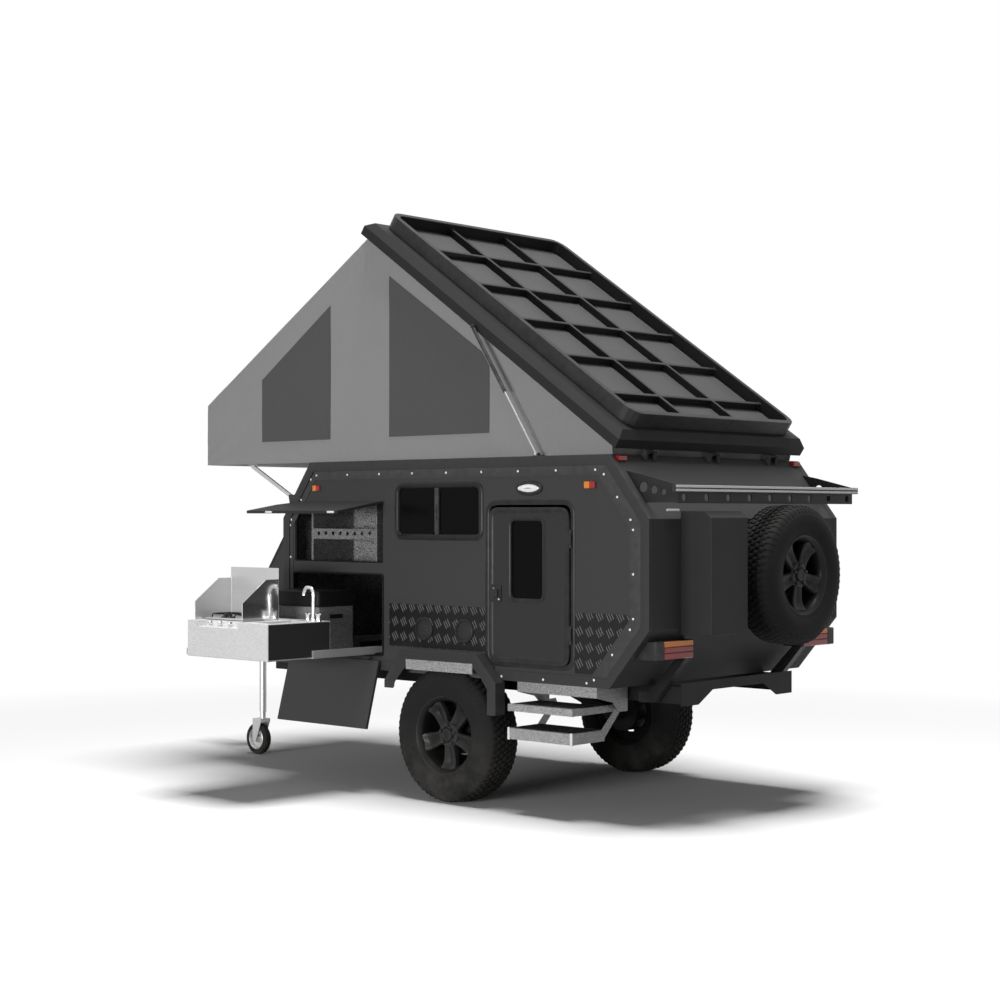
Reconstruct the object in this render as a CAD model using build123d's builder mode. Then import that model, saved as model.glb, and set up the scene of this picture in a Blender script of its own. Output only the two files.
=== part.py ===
from build123d import *
import os
from math import cos, pi, radians, sin

# Camper trailer, set out from the axle line on the ground: X forward, Y left, Z up, in millimetres.
# Each finished piece is written in the trailer's own frame, whose origin is the centre of the tow ball.
BALL_X = 3150
BALL_Z = 690

# Body shell
HALF_W = 917
WALL = 30
REAR_X = -1478
FRONT_X = 1460
TOP_REAR_X = -1207
TOP_FRONT_X = 1205
FLOOR_Z = 742
ROOF_Z = 2012
SLOPE_Z = 1662
LOW_SLOPE_Z = 1065
FLOOR_T = 40
TRIM_W = 58
TRIM_T = 12

# Flats that stand for a turned form, a small bar and a rounded corner, so that facets stay few
WHEEL_SIDES = 40
SMALL_SIDES = 24
BAR_SIDES = 12
KNUCKLE_SIDES = 8
CORNER_FLATS = 4

# Wheels
TYRE_DIA = 796
TYRE_W = 265
RIM_DIA = 451
RIM_SEAT_DIA = 432
RIM_INNER_DIA = 404
RIM_W = 222
WHEEL_Y = HALF_W - 67
SPOKES = 5
SPOKE_W = 84
SPOKE_T = 40
RIM_FACE = 30
HUB_DIA = 150
HUB_BORE = 71

# Chassis and drawbar
RAIL_W = 50
RAIL_H = 100
RAIL_Y = 520
RAIL_REAR_X = -1400
RAIL_FRONT_X = 1420
DRAW_H = 80
DRAW_HEAD_X = 2980
DRAW_HEAD_Y = 55
ARM_PIVOT_X = 430
ARM_PIVOT_Z = 560
JOCKEY_X = 2440
JOCKEY_TRAIL = 46
JOCKEY_Y = 264

# Doors, windows and lamps on the left side: (low x, high x, low z, high z)
DOOR_FRAME = (-951, -295, 825, 1762)
DOOR_LEAF = (-922, -320, 841, 1726)
DOOR_GLASS = (-731, -481, 1204, 1657)
DOOR_T = 30
DOOR_R = 72
WINDOW = (-261, 445, 1542, 1866)
WINDOW_R = 62
WINDOW_FRAME_W = 22
PANES = ((-229, 86), (116, 425))
PANE_Z = (1569, 1842)
HATCH_X = (545, 1368)
UPPER_BAY = (558, 1360, 1390, 1752)
UPPER_CHAMFER = (62, 116)
LOWER_BAY = (558, 1365, 833, 1318)
BAY_BACK_Y = -200
SHELF_BACK_Y = 520
SHELF_Y = (SHELF_BACK_Y + 40, HALF_W - WALL - 11)

# Roof lid: an own frame set off from its hinge pin, X along the lid and Z out of it
HINGE_X = -1237
HINGE_Z = 2032
LID_SET = (14, 6)
LID_OPEN_DEG = 34.4
LID_L = 2413
LID_HALF_W = HALF_W - 9
SKIRT_H = 55
SKIRT_T = 22
BEVEL_H = 43
BEVEL_IN = 38
DECK_H = 112
TRAY_X = (62, 2374)
TRAY_HALF_W = LID_HALF_W - 108
TRAY_R = 90
RIM_H = 188
RIM_T = 38
RIB_H = 156
RIB_T = 26
LID_HINGE_Y = (-600, 0, 600)
CROSS_RIB_X = (345, 753, 1161, 1569, 1977)
LONG_RIB_Y = (-255, 255)

# Tent and fold-out bed platform
TENT_HALF_W = LID_HALF_W - 42
TENT_T = 8
TENT_FRONT_X = 2300
TENT_EAVE_Z = 2412
PLAT_AXIS_X = 1208
PLAT_AXIS_Z = 2031
PLAT_SET_BACK = 55
PLAT_L = 1028
PLAT_HALF_W = TENT_HALF_W - 26
PLAT_T = 36
PLAT_PIN_R = 4

# Kitchen slide
UNIT = (612, 1345, HALF_W + 383, HALF_W + 863, 843, 1054)
SLIDE_TRAVEL = 875
FRIDGE = (760, 1250, HALF_W + 52, HALF_W + 342, 862, 1222)

# Entry steps
STEP_X = (-1007, -534)
STEP_Y = HALF_W + 83
STEP_PIVOT_Y = STEP_Y - 400
STEP_PIVOT_Z = 605

# Spare wheel
SPARE_Y = -190
TRAY_LOW_Z = 1746
SPARE_Z = TRAY_LOW_Z - 6 - TYRE_DIA / 2

# Clearances of seated pieces and of pins
GAP = 0.3
PIN_GAP = 0.08

TO_BALL = Location((-BALL_X, 0, -BALL_Z))
PIECES = []


def block(x0, x1, y0, y1, z0, z1, mode=Mode.ADD):
    """Adds a block between two corners to the piece being built."""
    with Locations(((x0 + x1) / 2, (y0 + y1) / 2, (z0 + z1) / 2)):
        Box(abs(x1 - x0), abs(y1 - y0), abs(z1 - z0), mode=mode)


def prism_xz(points, y0, y1, mode=Mode.ADD):
    """Adds a polygon drawn in X and Z, thick from y0 to y1."""
    with BuildSketch(Plane.XZ.offset(-y1)) as outline:
        with BuildLine():
            Polyline(*points, close=True)
        make_face()
    extrude(outline.sketch, amount=y1 - y0, mode=mode)


def prism_xy(points, z0, z1, mode=Mode.ADD, frame=Plane.XY):
    """Adds a polygon drawn in X and Y of a frame, thick from z0 to z1."""
    with BuildSketch(frame.offset(z0)) as outline:
        with BuildLine():
            Polyline(*points, close=True)
        make_face()
    extrude(outline.sketch, amount=z1 - z0, mode=mode)


def rounded(box, radius):
    """The corner points of a rectangle whose corners are rounded in a few flats."""
    x0, x1, z0, z1 = box
    middles = ((x1 - radius, z1 - radius), (x0 + radius, z1 - radius),
               (x0 + radius, z0 + radius), (x1 - radius, z0 + radius))
    points = []
    for quarter, (x, z) in enumerate(middles):
        for k in range(CORNER_FLATS + 1):
            turn = radians(90 * (quarter + k / CORNER_FLATS))
            points.append((x + radius * cos(turn), z + radius * sin(turn)))
    return points


def rounded_xz(box, radius, y0, y1, mode=Mode.ADD):
    """Adds a rectangle with rounded corners, given as (low x, high x, low z, high z), from y0 to y1."""
    prism_xz(rounded(box, radius), y0, y1, mode)


def flats(radius, sides):
    """Draws an even-sided outline with flats on both of its axes, as wide across them as a circle."""
    RegularPolygon(radius, sides, major_radius=False, rotation=180 / sides)


def rod(start, end, radius, mode=Mode.ADD, sides=0):
    """Adds a bar between two points, round or with several sides."""
    a, b = Vector(*start), Vector(*end)
    with BuildSketch(Plane(origin=a, z_dir=b - a)) as section:
        if sides:
            flats(radius, sides)
        else:
            Circle(radius)
    extrude(section.sketch, amount=(b - a).length, mode=mode)


def pin_bar(start, end, radius, flat):
    """Adds a hinge pin, round, or with flats cut within the same round."""
    if flat:
        rod(start, end, radius * cos(pi / KNUCKLE_SIDES), sides=KNUCKLE_SIDES)
    else:
        rod(start, end, radius)


def cross_bar(frame, point, y0, y1, radius, mode=Mode.ADD, sides=0):
    """Adds a bar along Y, from y0 to y1, through a point given in X and Z of a tilted frame."""
    x, z = point
    middle = frame.origin + frame.x_dir * x + frame.z_dir * z
    rod((middle.X, y0, middle.Z), (middle.X, y1, middle.Z), radius, mode, sides)


def turned(plane, steps, sides=WHEEL_SIDES, mode=Mode.ADD):
    """Adds a many-sided turned form about a plane's normal, from its (place along it, radius) steps."""
    for (low, low_r), (high, high_r) in zip(steps, steps[1:]):
        with BuildSketch(plane.offset(low)) as start:
            flats(low_r, sides)
        if low_r == high_r:
            extrude(start.sketch, amount=high - low, mode=mode)
        else:
            with BuildSketch(plane.offset(high)) as end:
                flats(high_r, sides)
            loft(sections=[start.sketch.faces()[0], end.sketch.faces()[0]], ruled=True, mode=mode)


def grown(box, by):
    """A side-view rectangle made larger all round."""
    return (box[0] - by, box[1] + by, box[2] - by, box[3] + by)


def rear_x(z):
    """Where the rear face lies at a height: upper slope, straight middle or lower slope."""
    if z > SLOPE_Z:
        return TOP_REAR_X + (REAR_X - TOP_REAR_X) * (ROOF_Z - z) / (ROOF_Z - SLOPE_Z)
    if z < LOW_SLOPE_Z:
        return TOP_REAR_X + (REAR_X - TOP_REAR_X) * (z - FLOOR_Z) / (LOW_SLOPE_Z - FLOOR_Z)
    return REAR_X


def keep(piece, name):
    """Labels a finished piece and keeps it for writing."""
    piece.part.label = name
    PIECES.append(piece.part)


# Outline of the side, from the top front corner round to the front
SIDE = (
    (TOP_FRONT_X, ROOF_Z),
    (TOP_REAR_X, ROOF_Z),
    (REAR_X, SLOPE_Z),
    (REAR_X, LOW_SLOPE_Z),
    (TOP_REAR_X, FLOOR_Z),
    (FRONT_X, FLOOR_Z),
    (FRONT_X, SLOPE_Z),
)
# Angular fender and wheel arch
FENDER_OUT = ((-439, 545), (-439, 730), (-282, 888), (322, 888), (462, 694), (462, 650))
FENDER_IN = ((386, 650), (372, 690), (262, 806), (-262, 806), (-315, 765), (-374, 690), (-374, 545))
FENDER_Y = HALF_W + 83
FENDER_T = 5
ARCH = ((-380, FLOOR_Z - 1), (-315, 765), (-262, 806), (262, 806), (315, 765), (380, FLOOR_Z - 1))


def side_ring(inset, depth, y0, y1):
    """Adds a band that follows the side's outline, from one inset of it to a deeper one."""
    with BuildSketch(Plane.XZ.offset(-y1)) as outline:
        with BuildLine():
            Polyline(*SIDE, close=True)
        make_face()
        if inset:
            offset(amount=-inset, kind=Kind.INTERSECTION, mode=Mode.REPLACE)
        offset(amount=-depth, kind=Kind.INTERSECTION, mode=Mode.SUBTRACT)
    extrude(outline.sketch, amount=y1 - y0)


# Side walls: left with its openings, right with the window alone
with BuildPart() as side_left:
    prism_xz(SIDE, HALF_W - WALL, HALF_W)
    rounded_xz(DOOR_FRAME, DOOR_R + 12, HALF_W - WALL, HALF_W, Mode.SUBTRACT)
    rounded_xz(WINDOW, WINDOW_R, HALF_W - WALL, HALF_W, Mode.SUBTRACT)
    x0, x1, z0, z1 = UPPER_BAY
    cut_x, cut_z = UPPER_CHAMFER
    prism_xz(((x0, z0), (x1, z0), (x1, z1 - cut_z), (x1 - cut_x, z1), (x0, z1)),
             HALF_W - WALL, HALF_W, Mode.SUBTRACT)
    x0, x1, z0, z1 = LOWER_BAY
    block(x0, x1, HALF_W - WALL, HALF_W, z0, z1, Mode.SUBTRACT)
    prism_xz(ARCH, HALF_W - WALL, HALF_W, Mode.SUBTRACT)
keep(side_left, "side_wall_left")

with BuildPart() as side_right:
    prism_xz(SIDE, -HALF_W, -HALF_W + WALL)
    rounded_xz(WINDOW, WINDOW_R, -HALF_W, -HALF_W + WALL, Mode.SUBTRACT)
    prism_xz(ARCH, -HALF_W, -HALF_W + WALL, Mode.SUBTRACT)
keep(side_right, "side_wall_right")

# Panels between the side walls
IN_Y = HALF_W - WALL
with BuildPart() as front_panel:
    side_ring(0, WALL, -IN_Y, IN_Y)
    block(TOP_FRONT_X, FRONT_X, -IN_Y, IN_Y, FLOOR_Z + FLOOR_T, ROOF_Z, Mode.INTERSECT)
keep(front_panel, "front_panel")

with BuildPart() as rear_panel:
    side_ring(0, WALL, -IN_Y, IN_Y)
    block(REAR_X, TOP_REAR_X, -IN_Y, IN_Y, FLOOR_Z, ROOF_Z, Mode.INTERSECT)
keep(rear_panel, "rear_panel")

with BuildPart() as roof_panel:
    block(TOP_REAR_X, TOP_FRONT_X, -IN_Y, IN_Y, ROOF_Z - WALL, ROOF_Z)
    block(-1060, 180, -IN_Y + 120, IN_Y - 120, ROOF_Z - WALL, ROOF_Z, Mode.SUBTRACT)
keep(roof_panel, "roof_panel")

WELL = (-290, 290, IN_Y - 200, IN_Y, 852)
with BuildPart() as floor_panel:
    block(TOP_REAR_X, FRONT_X, -IN_Y, IN_Y, FLOOR_Z, FLOOR_Z + FLOOR_T)
    for side in (-1, 1):
        x0, x1, y0, y1, top = WELL
        block(x0 - 8, x1 + 8, side * (y0 - 8), side * y1, FLOOR_Z, top + 8)
    for side in (-1, 1):
        block(x0, x1, side * y0, side * y1, FLOOR_Z, top, Mode.SUBTRACT)
keep(floor_panel, "floor_panel")

# Lined kitchen bay behind the two left openings
with BuildPart() as bay_liner:
    x0, x1, z0, z1 = 540, 1400, FLOOR_Z + FLOOR_T, 1790
    block(x0 - 8, x1 + 8, BAY_BACK_Y - 8, IN_Y, z0, 1350)
    block(x0, x1, BAY_BACK_Y, IN_Y, z0 + 8, 1342, Mode.SUBTRACT)
    prism_xz(((x0 - 8, 1342), (x1 + 8, 1342), (x1 + 8, 1674), (1322, z1), (x0 - 8, z1)),
             SHELF_BACK_Y - 8, IN_Y)
    prism_xz(((x0, 1350), (x1, 1350), (x1, 1671), (1316, z1 - 8), (x0, z1 - 8)),
             SHELF_BACK_Y, IN_Y, Mode.SUBTRACT)
keep(bay_liner, "bay_liner")

# Edge trims
with BuildPart() as edge_trims:
    for y0, y1 in ((HALF_W, HALF_W + TRIM_T), (-HALF_W - TRIM_T, -HALF_W)):
        side_ring(0, TRIM_W, y0, y1)
    prism_xz(FENDER_OUT + ((462, 500), (-439, 500)), -HALF_W - TRIM_T, HALF_W + TRIM_T, Mode.SUBTRACT)
keep(edge_trims, "edge_trims")

# Windows
with BuildPart() as window_frames:
    for y0, y1 in ((IN_Y + 4, HALF_W + 8), (-HALF_W - 8, -IN_Y - 4)):
        rounded_xz(grown(WINDOW, -0.5), WINDOW_R - 0.5, y0, y1)
        for low, high in PANES:
            rounded_xz((low, high, *PANE_Z), WINDOW_R - WINDOW_FRAME_W, y0, y1, Mode.SUBTRACT)
    rounded_xz(grown(DOOR_FRAME, -0.5), DOOR_R + 12, IN_Y, HALF_W + 3)
    rounded_xz(grown(DOOR_LEAF, 6), DOOR_R + 6, IN_Y, HALF_W + 3, Mode.SUBTRACT)
keep(window_frames, "frames")

with BuildPart() as window_glass:
    for middle in (HALF_W - 9, -HALF_W + 9):
        for low, high in PANES:
            box = grown((low, high, *PANE_Z), -0.2)
            rounded_xz(box, WINDOW_R - WINDOW_FRAME_W, middle - 3, middle + 3)
keep(window_glass, "window_glass")

# Entry door, hung on its rear edge
DOOR_Y = (HALF_W - 24, HALF_W + 6)
HINGE_DOOR = (-936, HALF_W + 14)
DOOR_HINGE_Z = (1020, 1550)
PIN_R = 3.5
KNUCKLE_R = 7
PIN_FLATS = (False, True)
with BuildPart() as door_leaf:
    rounded_xz(DOOR_LEAF, DOOR_R, *DOOR_Y)
    rounded_xz(DOOR_GLASS, 42, *DOOR_Y, Mode.SUBTRACT)
    for z in DOOR_HINGE_Z:
        rod((*HINGE_DOOR, z - 30), (*HINGE_DOOR, z + 30), KNUCKLE_R, sides=KNUCKLE_SIDES)
        block(HINGE_DOOR[0], DOOR_LEAF[0] + 20, HALF_W + 6, HALF_W + 12, z - 30, z + 30)
        rod((*HINGE_DOOR, z - 31), (*HINGE_DOOR, z + 31), PIN_R + PIN_GAP, Mode.SUBTRACT, KNUCKLE_SIDES)
    rounded_xz((-419, -332, 1185, 1287), 14, DOOR_Y[1], DOOR_Y[1] + 7)
    rounded_xz((-400, -350, 1215, 1262), 8, DOOR_Y[1] + 7, DOOR_Y[1] + 20)
keep(door_leaf, "entry_door")

with BuildPart() as door_glass:
    rounded_xz(grown(DOOR_GLASS, -0.2), 42, HALF_W - 12, HALF_W - 6)
keep(door_glass, "entry_door_glass")

# Upper hatch, hung at its top edge and held out just below level
HATCH_Z = 1758
HATCH_Y = HALF_W + 16
HATCH_L = 378
HATCH_T = 18
HATCH_DROOP = radians(8.9)
BAY_HINGE_X = (700, 1150)
hatch_plane = Plane(
    origin=(0, HATCH_Y, HATCH_Z),
    x_dir=(1, 0, 0),
    z_dir=(0, -sin(HATCH_DROOP), -cos(HATCH_DROOP)),
)
with BuildPart() as hatch:
    with BuildSketch(hatch_plane.offset(-HATCH_T / 2)) as outline:
        with BuildLine():
            Polyline(
                (HATCH_X[0], -12), (HATCH_X[1] - 78, -12), (HATCH_X[1], -130),
                (HATCH_X[1], -HATCH_L), (HATCH_X[0], -HATCH_L), close=True,
            )
        make_face()
    extrude(amount=HATCH_T)
    for x in BAY_HINGE_X:
        rod((x - 30, HATCH_Y, HATCH_Z), (x + 30, HATCH_Y, HATCH_Z), KNUCKLE_R, sides=KNUCKLE_SIDES)
        with BuildSketch(hatch_plane.offset(-2)) as strap:
            with Locations((x, -8)):
                Rectangle(60, 16)
        extrude(amount=4)
        rod((x - 31, HATCH_Y, HATCH_Z), (x + 31, HATCH_Y, HATCH_Z), PIN_R + PIN_GAP, Mode.SUBTRACT, KNUCKLE_SIDES)
keep(hatch, "upper_hatch")

# Lower door, hung at its bottom edge
DROP_Z = 812
DROP_Y = HALF_W + 16
DROP_L = 432
DROP_X = (562, 1369)
DROP_T = 20
DROP_REST_DEG = 15
DROP_OFFSET = 4
drop_plane = Plane(
    origin=(0, DROP_Y, DROP_Z),
    x_dir=(1, 0, 0),
    z_dir=(0, cos(radians(DROP_REST_DEG)), sin(radians(DROP_REST_DEG))),
)
with BuildPart() as drop_door:
    with BuildSketch(drop_plane.offset(DROP_OFFSET - DROP_T / 2)) as outline:
        with Locations(((DROP_X[0] + DROP_X[1]) / 2, (16 + DROP_L) / 2)):
            Rectangle(DROP_X[1] - DROP_X[0], DROP_L - 16)
    extrude(amount=DROP_T)
    for x in BAY_HINGE_X:
        rod((x - 30, DROP_Y, DROP_Z), (x + 30, DROP_Y, DROP_Z), KNUCKLE_R, sides=KNUCKLE_SIDES)
        with BuildSketch(drop_plane.offset(-2)) as strap:
            with Locations((x, 10)):
                Rectangle(60, 20)
        extrude(amount=4)
        rod((x - 31, DROP_Y, DROP_Z), (x + 31, DROP_Y, DROP_Z), PIN_R + PIN_GAP, Mode.SUBTRACT, KNUCKLE_SIDES)
keep(drop_door, "drop_door")

# Shelf unit in the upper bay
with BuildPart() as shelf_unit:
    for x in (660, 1240):
        block(x - 8, x + 8, *SHELF_Y, 1350, 1776)
    for low, high in ((1350, 1360), (1530, 1538)):
        block(668, 1232, *SHELF_Y, low, high)
    block(668, 1232, SHELF_Y[1] - 8, SHELF_Y[1], 1538, 1596)
    with BuildSketch(Plane.XZ.offset(-SHELF_Y[1] - 1)) as holes:
        with Locations((950, 1567)):
            with GridLocations(66, 1, 8, 1):
                flats(12, BAR_SIDES)
    extrude(holes.sketch, amount=10, mode=Mode.SUBTRACT)
keep(shelf_unit, "shelf_unit")

# Lamps
with BuildPart() as porch_light:
    with BuildSketch(Plane.XZ.offset(-HALF_W)) as outline:
        with Locations((-624, 1833)):
            Ellipse(101, 42)
    extrude(outline.sketch, amount=-16)
keep(porch_light, "porch_light")

MARKERS = ((1184, 1117, 1829, 1868), (-1028, -1109, 1826, 1868))
with BuildPart() as marker_lamps:
    for front, back, low, high in MARKERS:
        for y in (HALF_W, -HALF_W - 14):
            block(back, front, y, y + 14, low, high)
keep(marker_lamps, "marker_lamps")

# Checker plate skins on the lower corners of both sides
with BuildPart() as checker:
    for y0, y1 in ((HALF_W, HALF_W + 3), (-HALF_W - 3, -HALF_W)):
        with BuildSketch(Plane.XZ.offset(-y1)) as outline:
            with BuildLine():
                Polyline((-957, FLOOR_Z + 70), (-957, 1146), (-1412, 1146), (-1412, LOW_SLOPE_Z + 24),
                         (-1180, FLOOR_Z + 70), close=True)
            make_face()
        extrude(outline.sketch, amount=y1 - y0)
        block(-293, 500, y0, y1, 895, 1150)
keep(checker, "checker_plates")

with BuildPart() as vents:
    for side in (1, -1):
        for x in (203, -125):
            rod((x, side * (HALF_W + 3), 1006), (x, side * (HALF_W + 14), 1006), 71, sides=SMALL_SIDES)
            for k in range(-2, 3):
                z = 1006 + k * 22
                block(x - 48, x + 48, side * (HALF_W + 8), side * (HALF_W + 14), z - 6, z + 6, Mode.SUBTRACT)
keep(vents, "side_vents")

# Fenders: a folded face ring with an outer skin, open underneath
with BuildPart() as fenders:
    for side in (1, -1):
        y0, y1 = sorted((side * HALF_W, side * FENDER_Y))
        prism_xz(FENDER_OUT + FENDER_IN, y0, y1)
        with BuildSketch(Plane.XZ.offset(-max(y0, side * (FENDER_Y - FENDER_T)))) as hollow:
            with BuildLine():
                Polyline(*(FENDER_OUT + ((462, 500), (-439, 500))), close=True)
            make_face()
            offset(amount=-FENDER_T, kind=Kind.INTERSECTION, mode=Mode.REPLACE)
        extrude(hollow.sketch, amount=side * (FENDER_Y - HALF_W - FENDER_T), mode=Mode.SUBTRACT)
keep(fenders, "fenders")

# Chassis rails, cross members and drawbar
RAIL_Z = FLOOR_Z - RAIL_H
def draw_edge(x):
    """How far out the drawbar's rail reaches at a place along it."""
    start = RAIL_Y + RAIL_W / 2
    return start + (DRAW_HEAD_Y - start) * (x - RAIL_FRONT_X) / (DRAW_HEAD_X - RAIL_FRONT_X)


BALL_R = 25.4
BALL_SKIRT = 22
BAY_X = (-1120, -470, 0, 560, 1370)
with BuildPart() as chassis:
    for side in (-1, 1):
        block(RAIL_REAR_X, RAIL_FRONT_X, side * (RAIL_Y - RAIL_W / 2), side * (RAIL_Y + RAIL_W / 2), RAIL_Z, FLOOR_Z)
    for x in BAY_X:
        block(x - 25, x + 25, -RAIL_Y, RAIL_Y, RAIL_Z + 20, FLOOR_Z)
    end_y = RAIL_Y + RAIL_W / 2
    with BuildSketch(Plane.YZ.offset(RAIL_REAR_X)) as tail:
        with BuildLine():
            Polyline((-end_y, 630), (-385, 630), (-250, 705), (250, 705), (385, 630), (end_y, 630),
                     (end_y, 760), (-end_y, 760), close=True)
        make_face()
    extrude(tail.sketch, amount=-8)
keep(chassis, "chassis")

with BuildPart() as drawbar:
    for side in (-1, 1):
        prism_xy(
            (
                (RAIL_FRONT_X, side * end_y), (RAIL_FRONT_X, side * (end_y - RAIL_W)),
                (DRAW_HEAD_X, side * 5), (DRAW_HEAD_X, side * DRAW_HEAD_Y),
            ),
            FLOOR_Z - DRAW_H, FLOOR_Z,
        )
    block(DRAW_HEAD_X - 180, DRAW_HEAD_X, -DRAW_HEAD_Y, DRAW_HEAD_Y, FLOOR_Z - DRAW_H, FLOOR_Z)
    block(1900, 1950, -340, 340, FLOOR_Z - DRAW_H, FLOOR_Z)
    block(2000, 2140, 335, 405, 630, 680)
keep(drawbar, "drawbar")

with BuildPart() as coupling:
    block(DRAW_HEAD_X, BALL_X - 20, -32, 32, BALL_Z - BALL_SKIRT, BALL_Z + 42)
    with Locations((BALL_X, 0, BALL_Z + (42 - BALL_SKIRT) / 2)):
        Cylinder(40, 42 + BALL_SKIRT)
    with Locations((BALL_X, 0, BALL_Z)):
        Sphere(BALL_R, mode=Mode.SUBTRACT)
    with Locations((BALL_X, 0, BALL_Z - BALL_SKIRT / 2)):
        Cylinder(BALL_R, BALL_SKIRT, mode=Mode.SUBTRACT)
keep(coupling, "tow_coupling")

# Jockey wheel on the left drawbar rail
JOCKEY_R = 110
JOCKEY_WHEEL_X = JOCKEY_X + JOCKEY_TRAIL
JOCKEY_TOP = 300
with BuildPart() as jockey_tube:
    rod((JOCKEY_X, JOCKEY_Y, JOCKEY_TOP), (JOCKEY_X, JOCKEY_Y, 880), 24, sides=SMALL_SIDES)
    rod((JOCKEY_X, JOCKEY_Y, 880), (JOCKEY_X, JOCKEY_Y, 900), 12, sides=BAR_SIDES)
    rod((JOCKEY_X, JOCKEY_Y, 900), (JOCKEY_X, JOCKEY_Y + 90, 900), 6, sides=KNUCKLE_SIDES)
    prism_xy(((JOCKEY_X - 40, draw_edge(JOCKEY_X - 40)), (JOCKEY_X + 40, draw_edge(JOCKEY_X + 40)),
              (JOCKEY_X + 30, JOCKEY_Y), (JOCKEY_X - 30, JOCKEY_Y)), 670, 732)
keep(jockey_tube, "jockey_tube")

with BuildPart() as jockey_fork:
    rod((JOCKEY_X, JOCKEY_Y, 250), (JOCKEY_X, JOCKEY_Y, JOCKEY_TOP - GAP), 20)
    block(JOCKEY_X - 28, JOCKEY_X + 62, JOCKEY_Y - 42, JOCKEY_Y + 42, 238, 254)
    for side in (-1, 1):
        prism_xz(
            ((JOCKEY_X - 28, 238), (JOCKEY_X + 62, 238), (JOCKEY_WHEEL_X + 16, 95), (JOCKEY_WHEEL_X - 16, 95)),
            *sorted((JOCKEY_Y + side * 36, JOCKEY_Y + side * 42)),
        )
    rod((JOCKEY_WHEEL_X, JOCKEY_Y - 42, JOCKEY_R), (JOCKEY_WHEEL_X, JOCKEY_Y + 42, JOCKEY_R), 8)
keep(jockey_fork, "jockey_fork")

JOCKEY_PLANE = Plane(origin=(JOCKEY_WHEEL_X, JOCKEY_Y, JOCKEY_R), x_dir=(1, 0, 0), z_dir=(0, 1, 0))
JOCKEY_SEAT = 72
with BuildPart() as jockey_tyre:
    turned(JOCKEY_PLANE, ((-29, JOCKEY_R - 16), (-14, JOCKEY_R), (14, JOCKEY_R), (29, JOCKEY_R - 16)), SMALL_SIDES)
    turned(JOCKEY_PLANE, ((-29, JOCKEY_SEAT + GAP), (29, JOCKEY_SEAT + GAP)), SMALL_SIDES, Mode.SUBTRACT)
keep(jockey_tyre, "jockey_tyre")

with BuildPart() as jockey_rim:
    turned(JOCKEY_PLANE, ((-27, JOCKEY_SEAT), (27, JOCKEY_SEAT)), SMALL_SIDES)
    for low, high in ((-27, -12), (12, 27)):
        turned(JOCKEY_PLANE, ((low, 60), (high, 60)), SMALL_SIDES, Mode.SUBTRACT)
    turned(JOCKEY_PLANE, ((-30, 18), (30, 18)), BAR_SIDES)
    rod((JOCKEY_WHEEL_X, JOCKEY_Y - 31, JOCKEY_R), (JOCKEY_WHEEL_X, JOCKEY_Y + 31, JOCKEY_R), 8 + PIN_GAP, Mode.SUBTRACT)
keep(jockey_rim, "jockey_rim")

# Trailing arms under the rails, with their hub drums and stub axles
ARM_END_Y = WHEEL_Y - 150
ARM_Y = (WHEEL_Y - 290, WHEEL_Y - 210)
HUB_Z = TYRE_DIA / 2
with BuildPart() as arms:
    for side in (-1, 1):
        rod((ARM_PIVOT_X, side * (ARM_Y[0] - 180), ARM_PIVOT_Z), (ARM_PIVOT_X, side * (ARM_Y[1] + 20), ARM_PIVOT_Z),
            32, sides=BAR_SIDES)
        prism_xz(
            ((ARM_PIVOT_X, ARM_PIVOT_Z + 30), (ARM_PIVOT_X, ARM_PIVOT_Z - 30),
             (-40, HUB_Z - 40), (-40, HUB_Z + 40), (40, HUB_Z + 60)),
            *sorted((side * ARM_Y[0], side * ARM_Y[1])),
        )
        rod((0, side * ARM_Y[0], HUB_Z), (0, side * ARM_END_Y, HUB_Z), 40, sides=BAR_SIDES)
        for y in (RAIL_Y - 20, RAIL_Y + 10):
            prism_xz(
                ((ARM_PIVOT_X - 60, RAIL_Z), (ARM_PIVOT_X + 60, RAIL_Z),
                 (ARM_PIVOT_X + 40, ARM_PIVOT_Z - 40), (ARM_PIVOT_X - 40, ARM_PIVOT_Z - 40)),
                *sorted((side * y, side * (y + 10))),
            )
        rod((0, side * ARM_END_Y, HUB_Z), (0, side * (WHEEL_Y - 20), HUB_Z), 120, sides=SMALL_SIDES)
        rod((0, side * (WHEEL_Y - 20), HUB_Z), (0, side * (WHEEL_Y + 74), HUB_Z), HUB_BORE / 2 - PIN_GAP)
keep(arms, "trailing_arms")


def tyre(plane):
    """A tyre turned about the plane's normal, its middle on the plane, dished where it meets the rim."""
    half, outer = TYRE_W / 2, TYRE_DIA / 2
    seat = RIM_SEAT_DIA / 2 + GAP
    turned(plane, ((-half, outer - 70), (-half + 34, outer - 14), (-half + 52, outer), (half - 52, outer),
                   (half - 34, outer - 14), (half, outer - 70)))
    turned(plane, ((-half, seat + 60), (-half + 32, seat), (half - 32, seat), (half, seat + 60)), mode=Mode.SUBTRACT)


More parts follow.
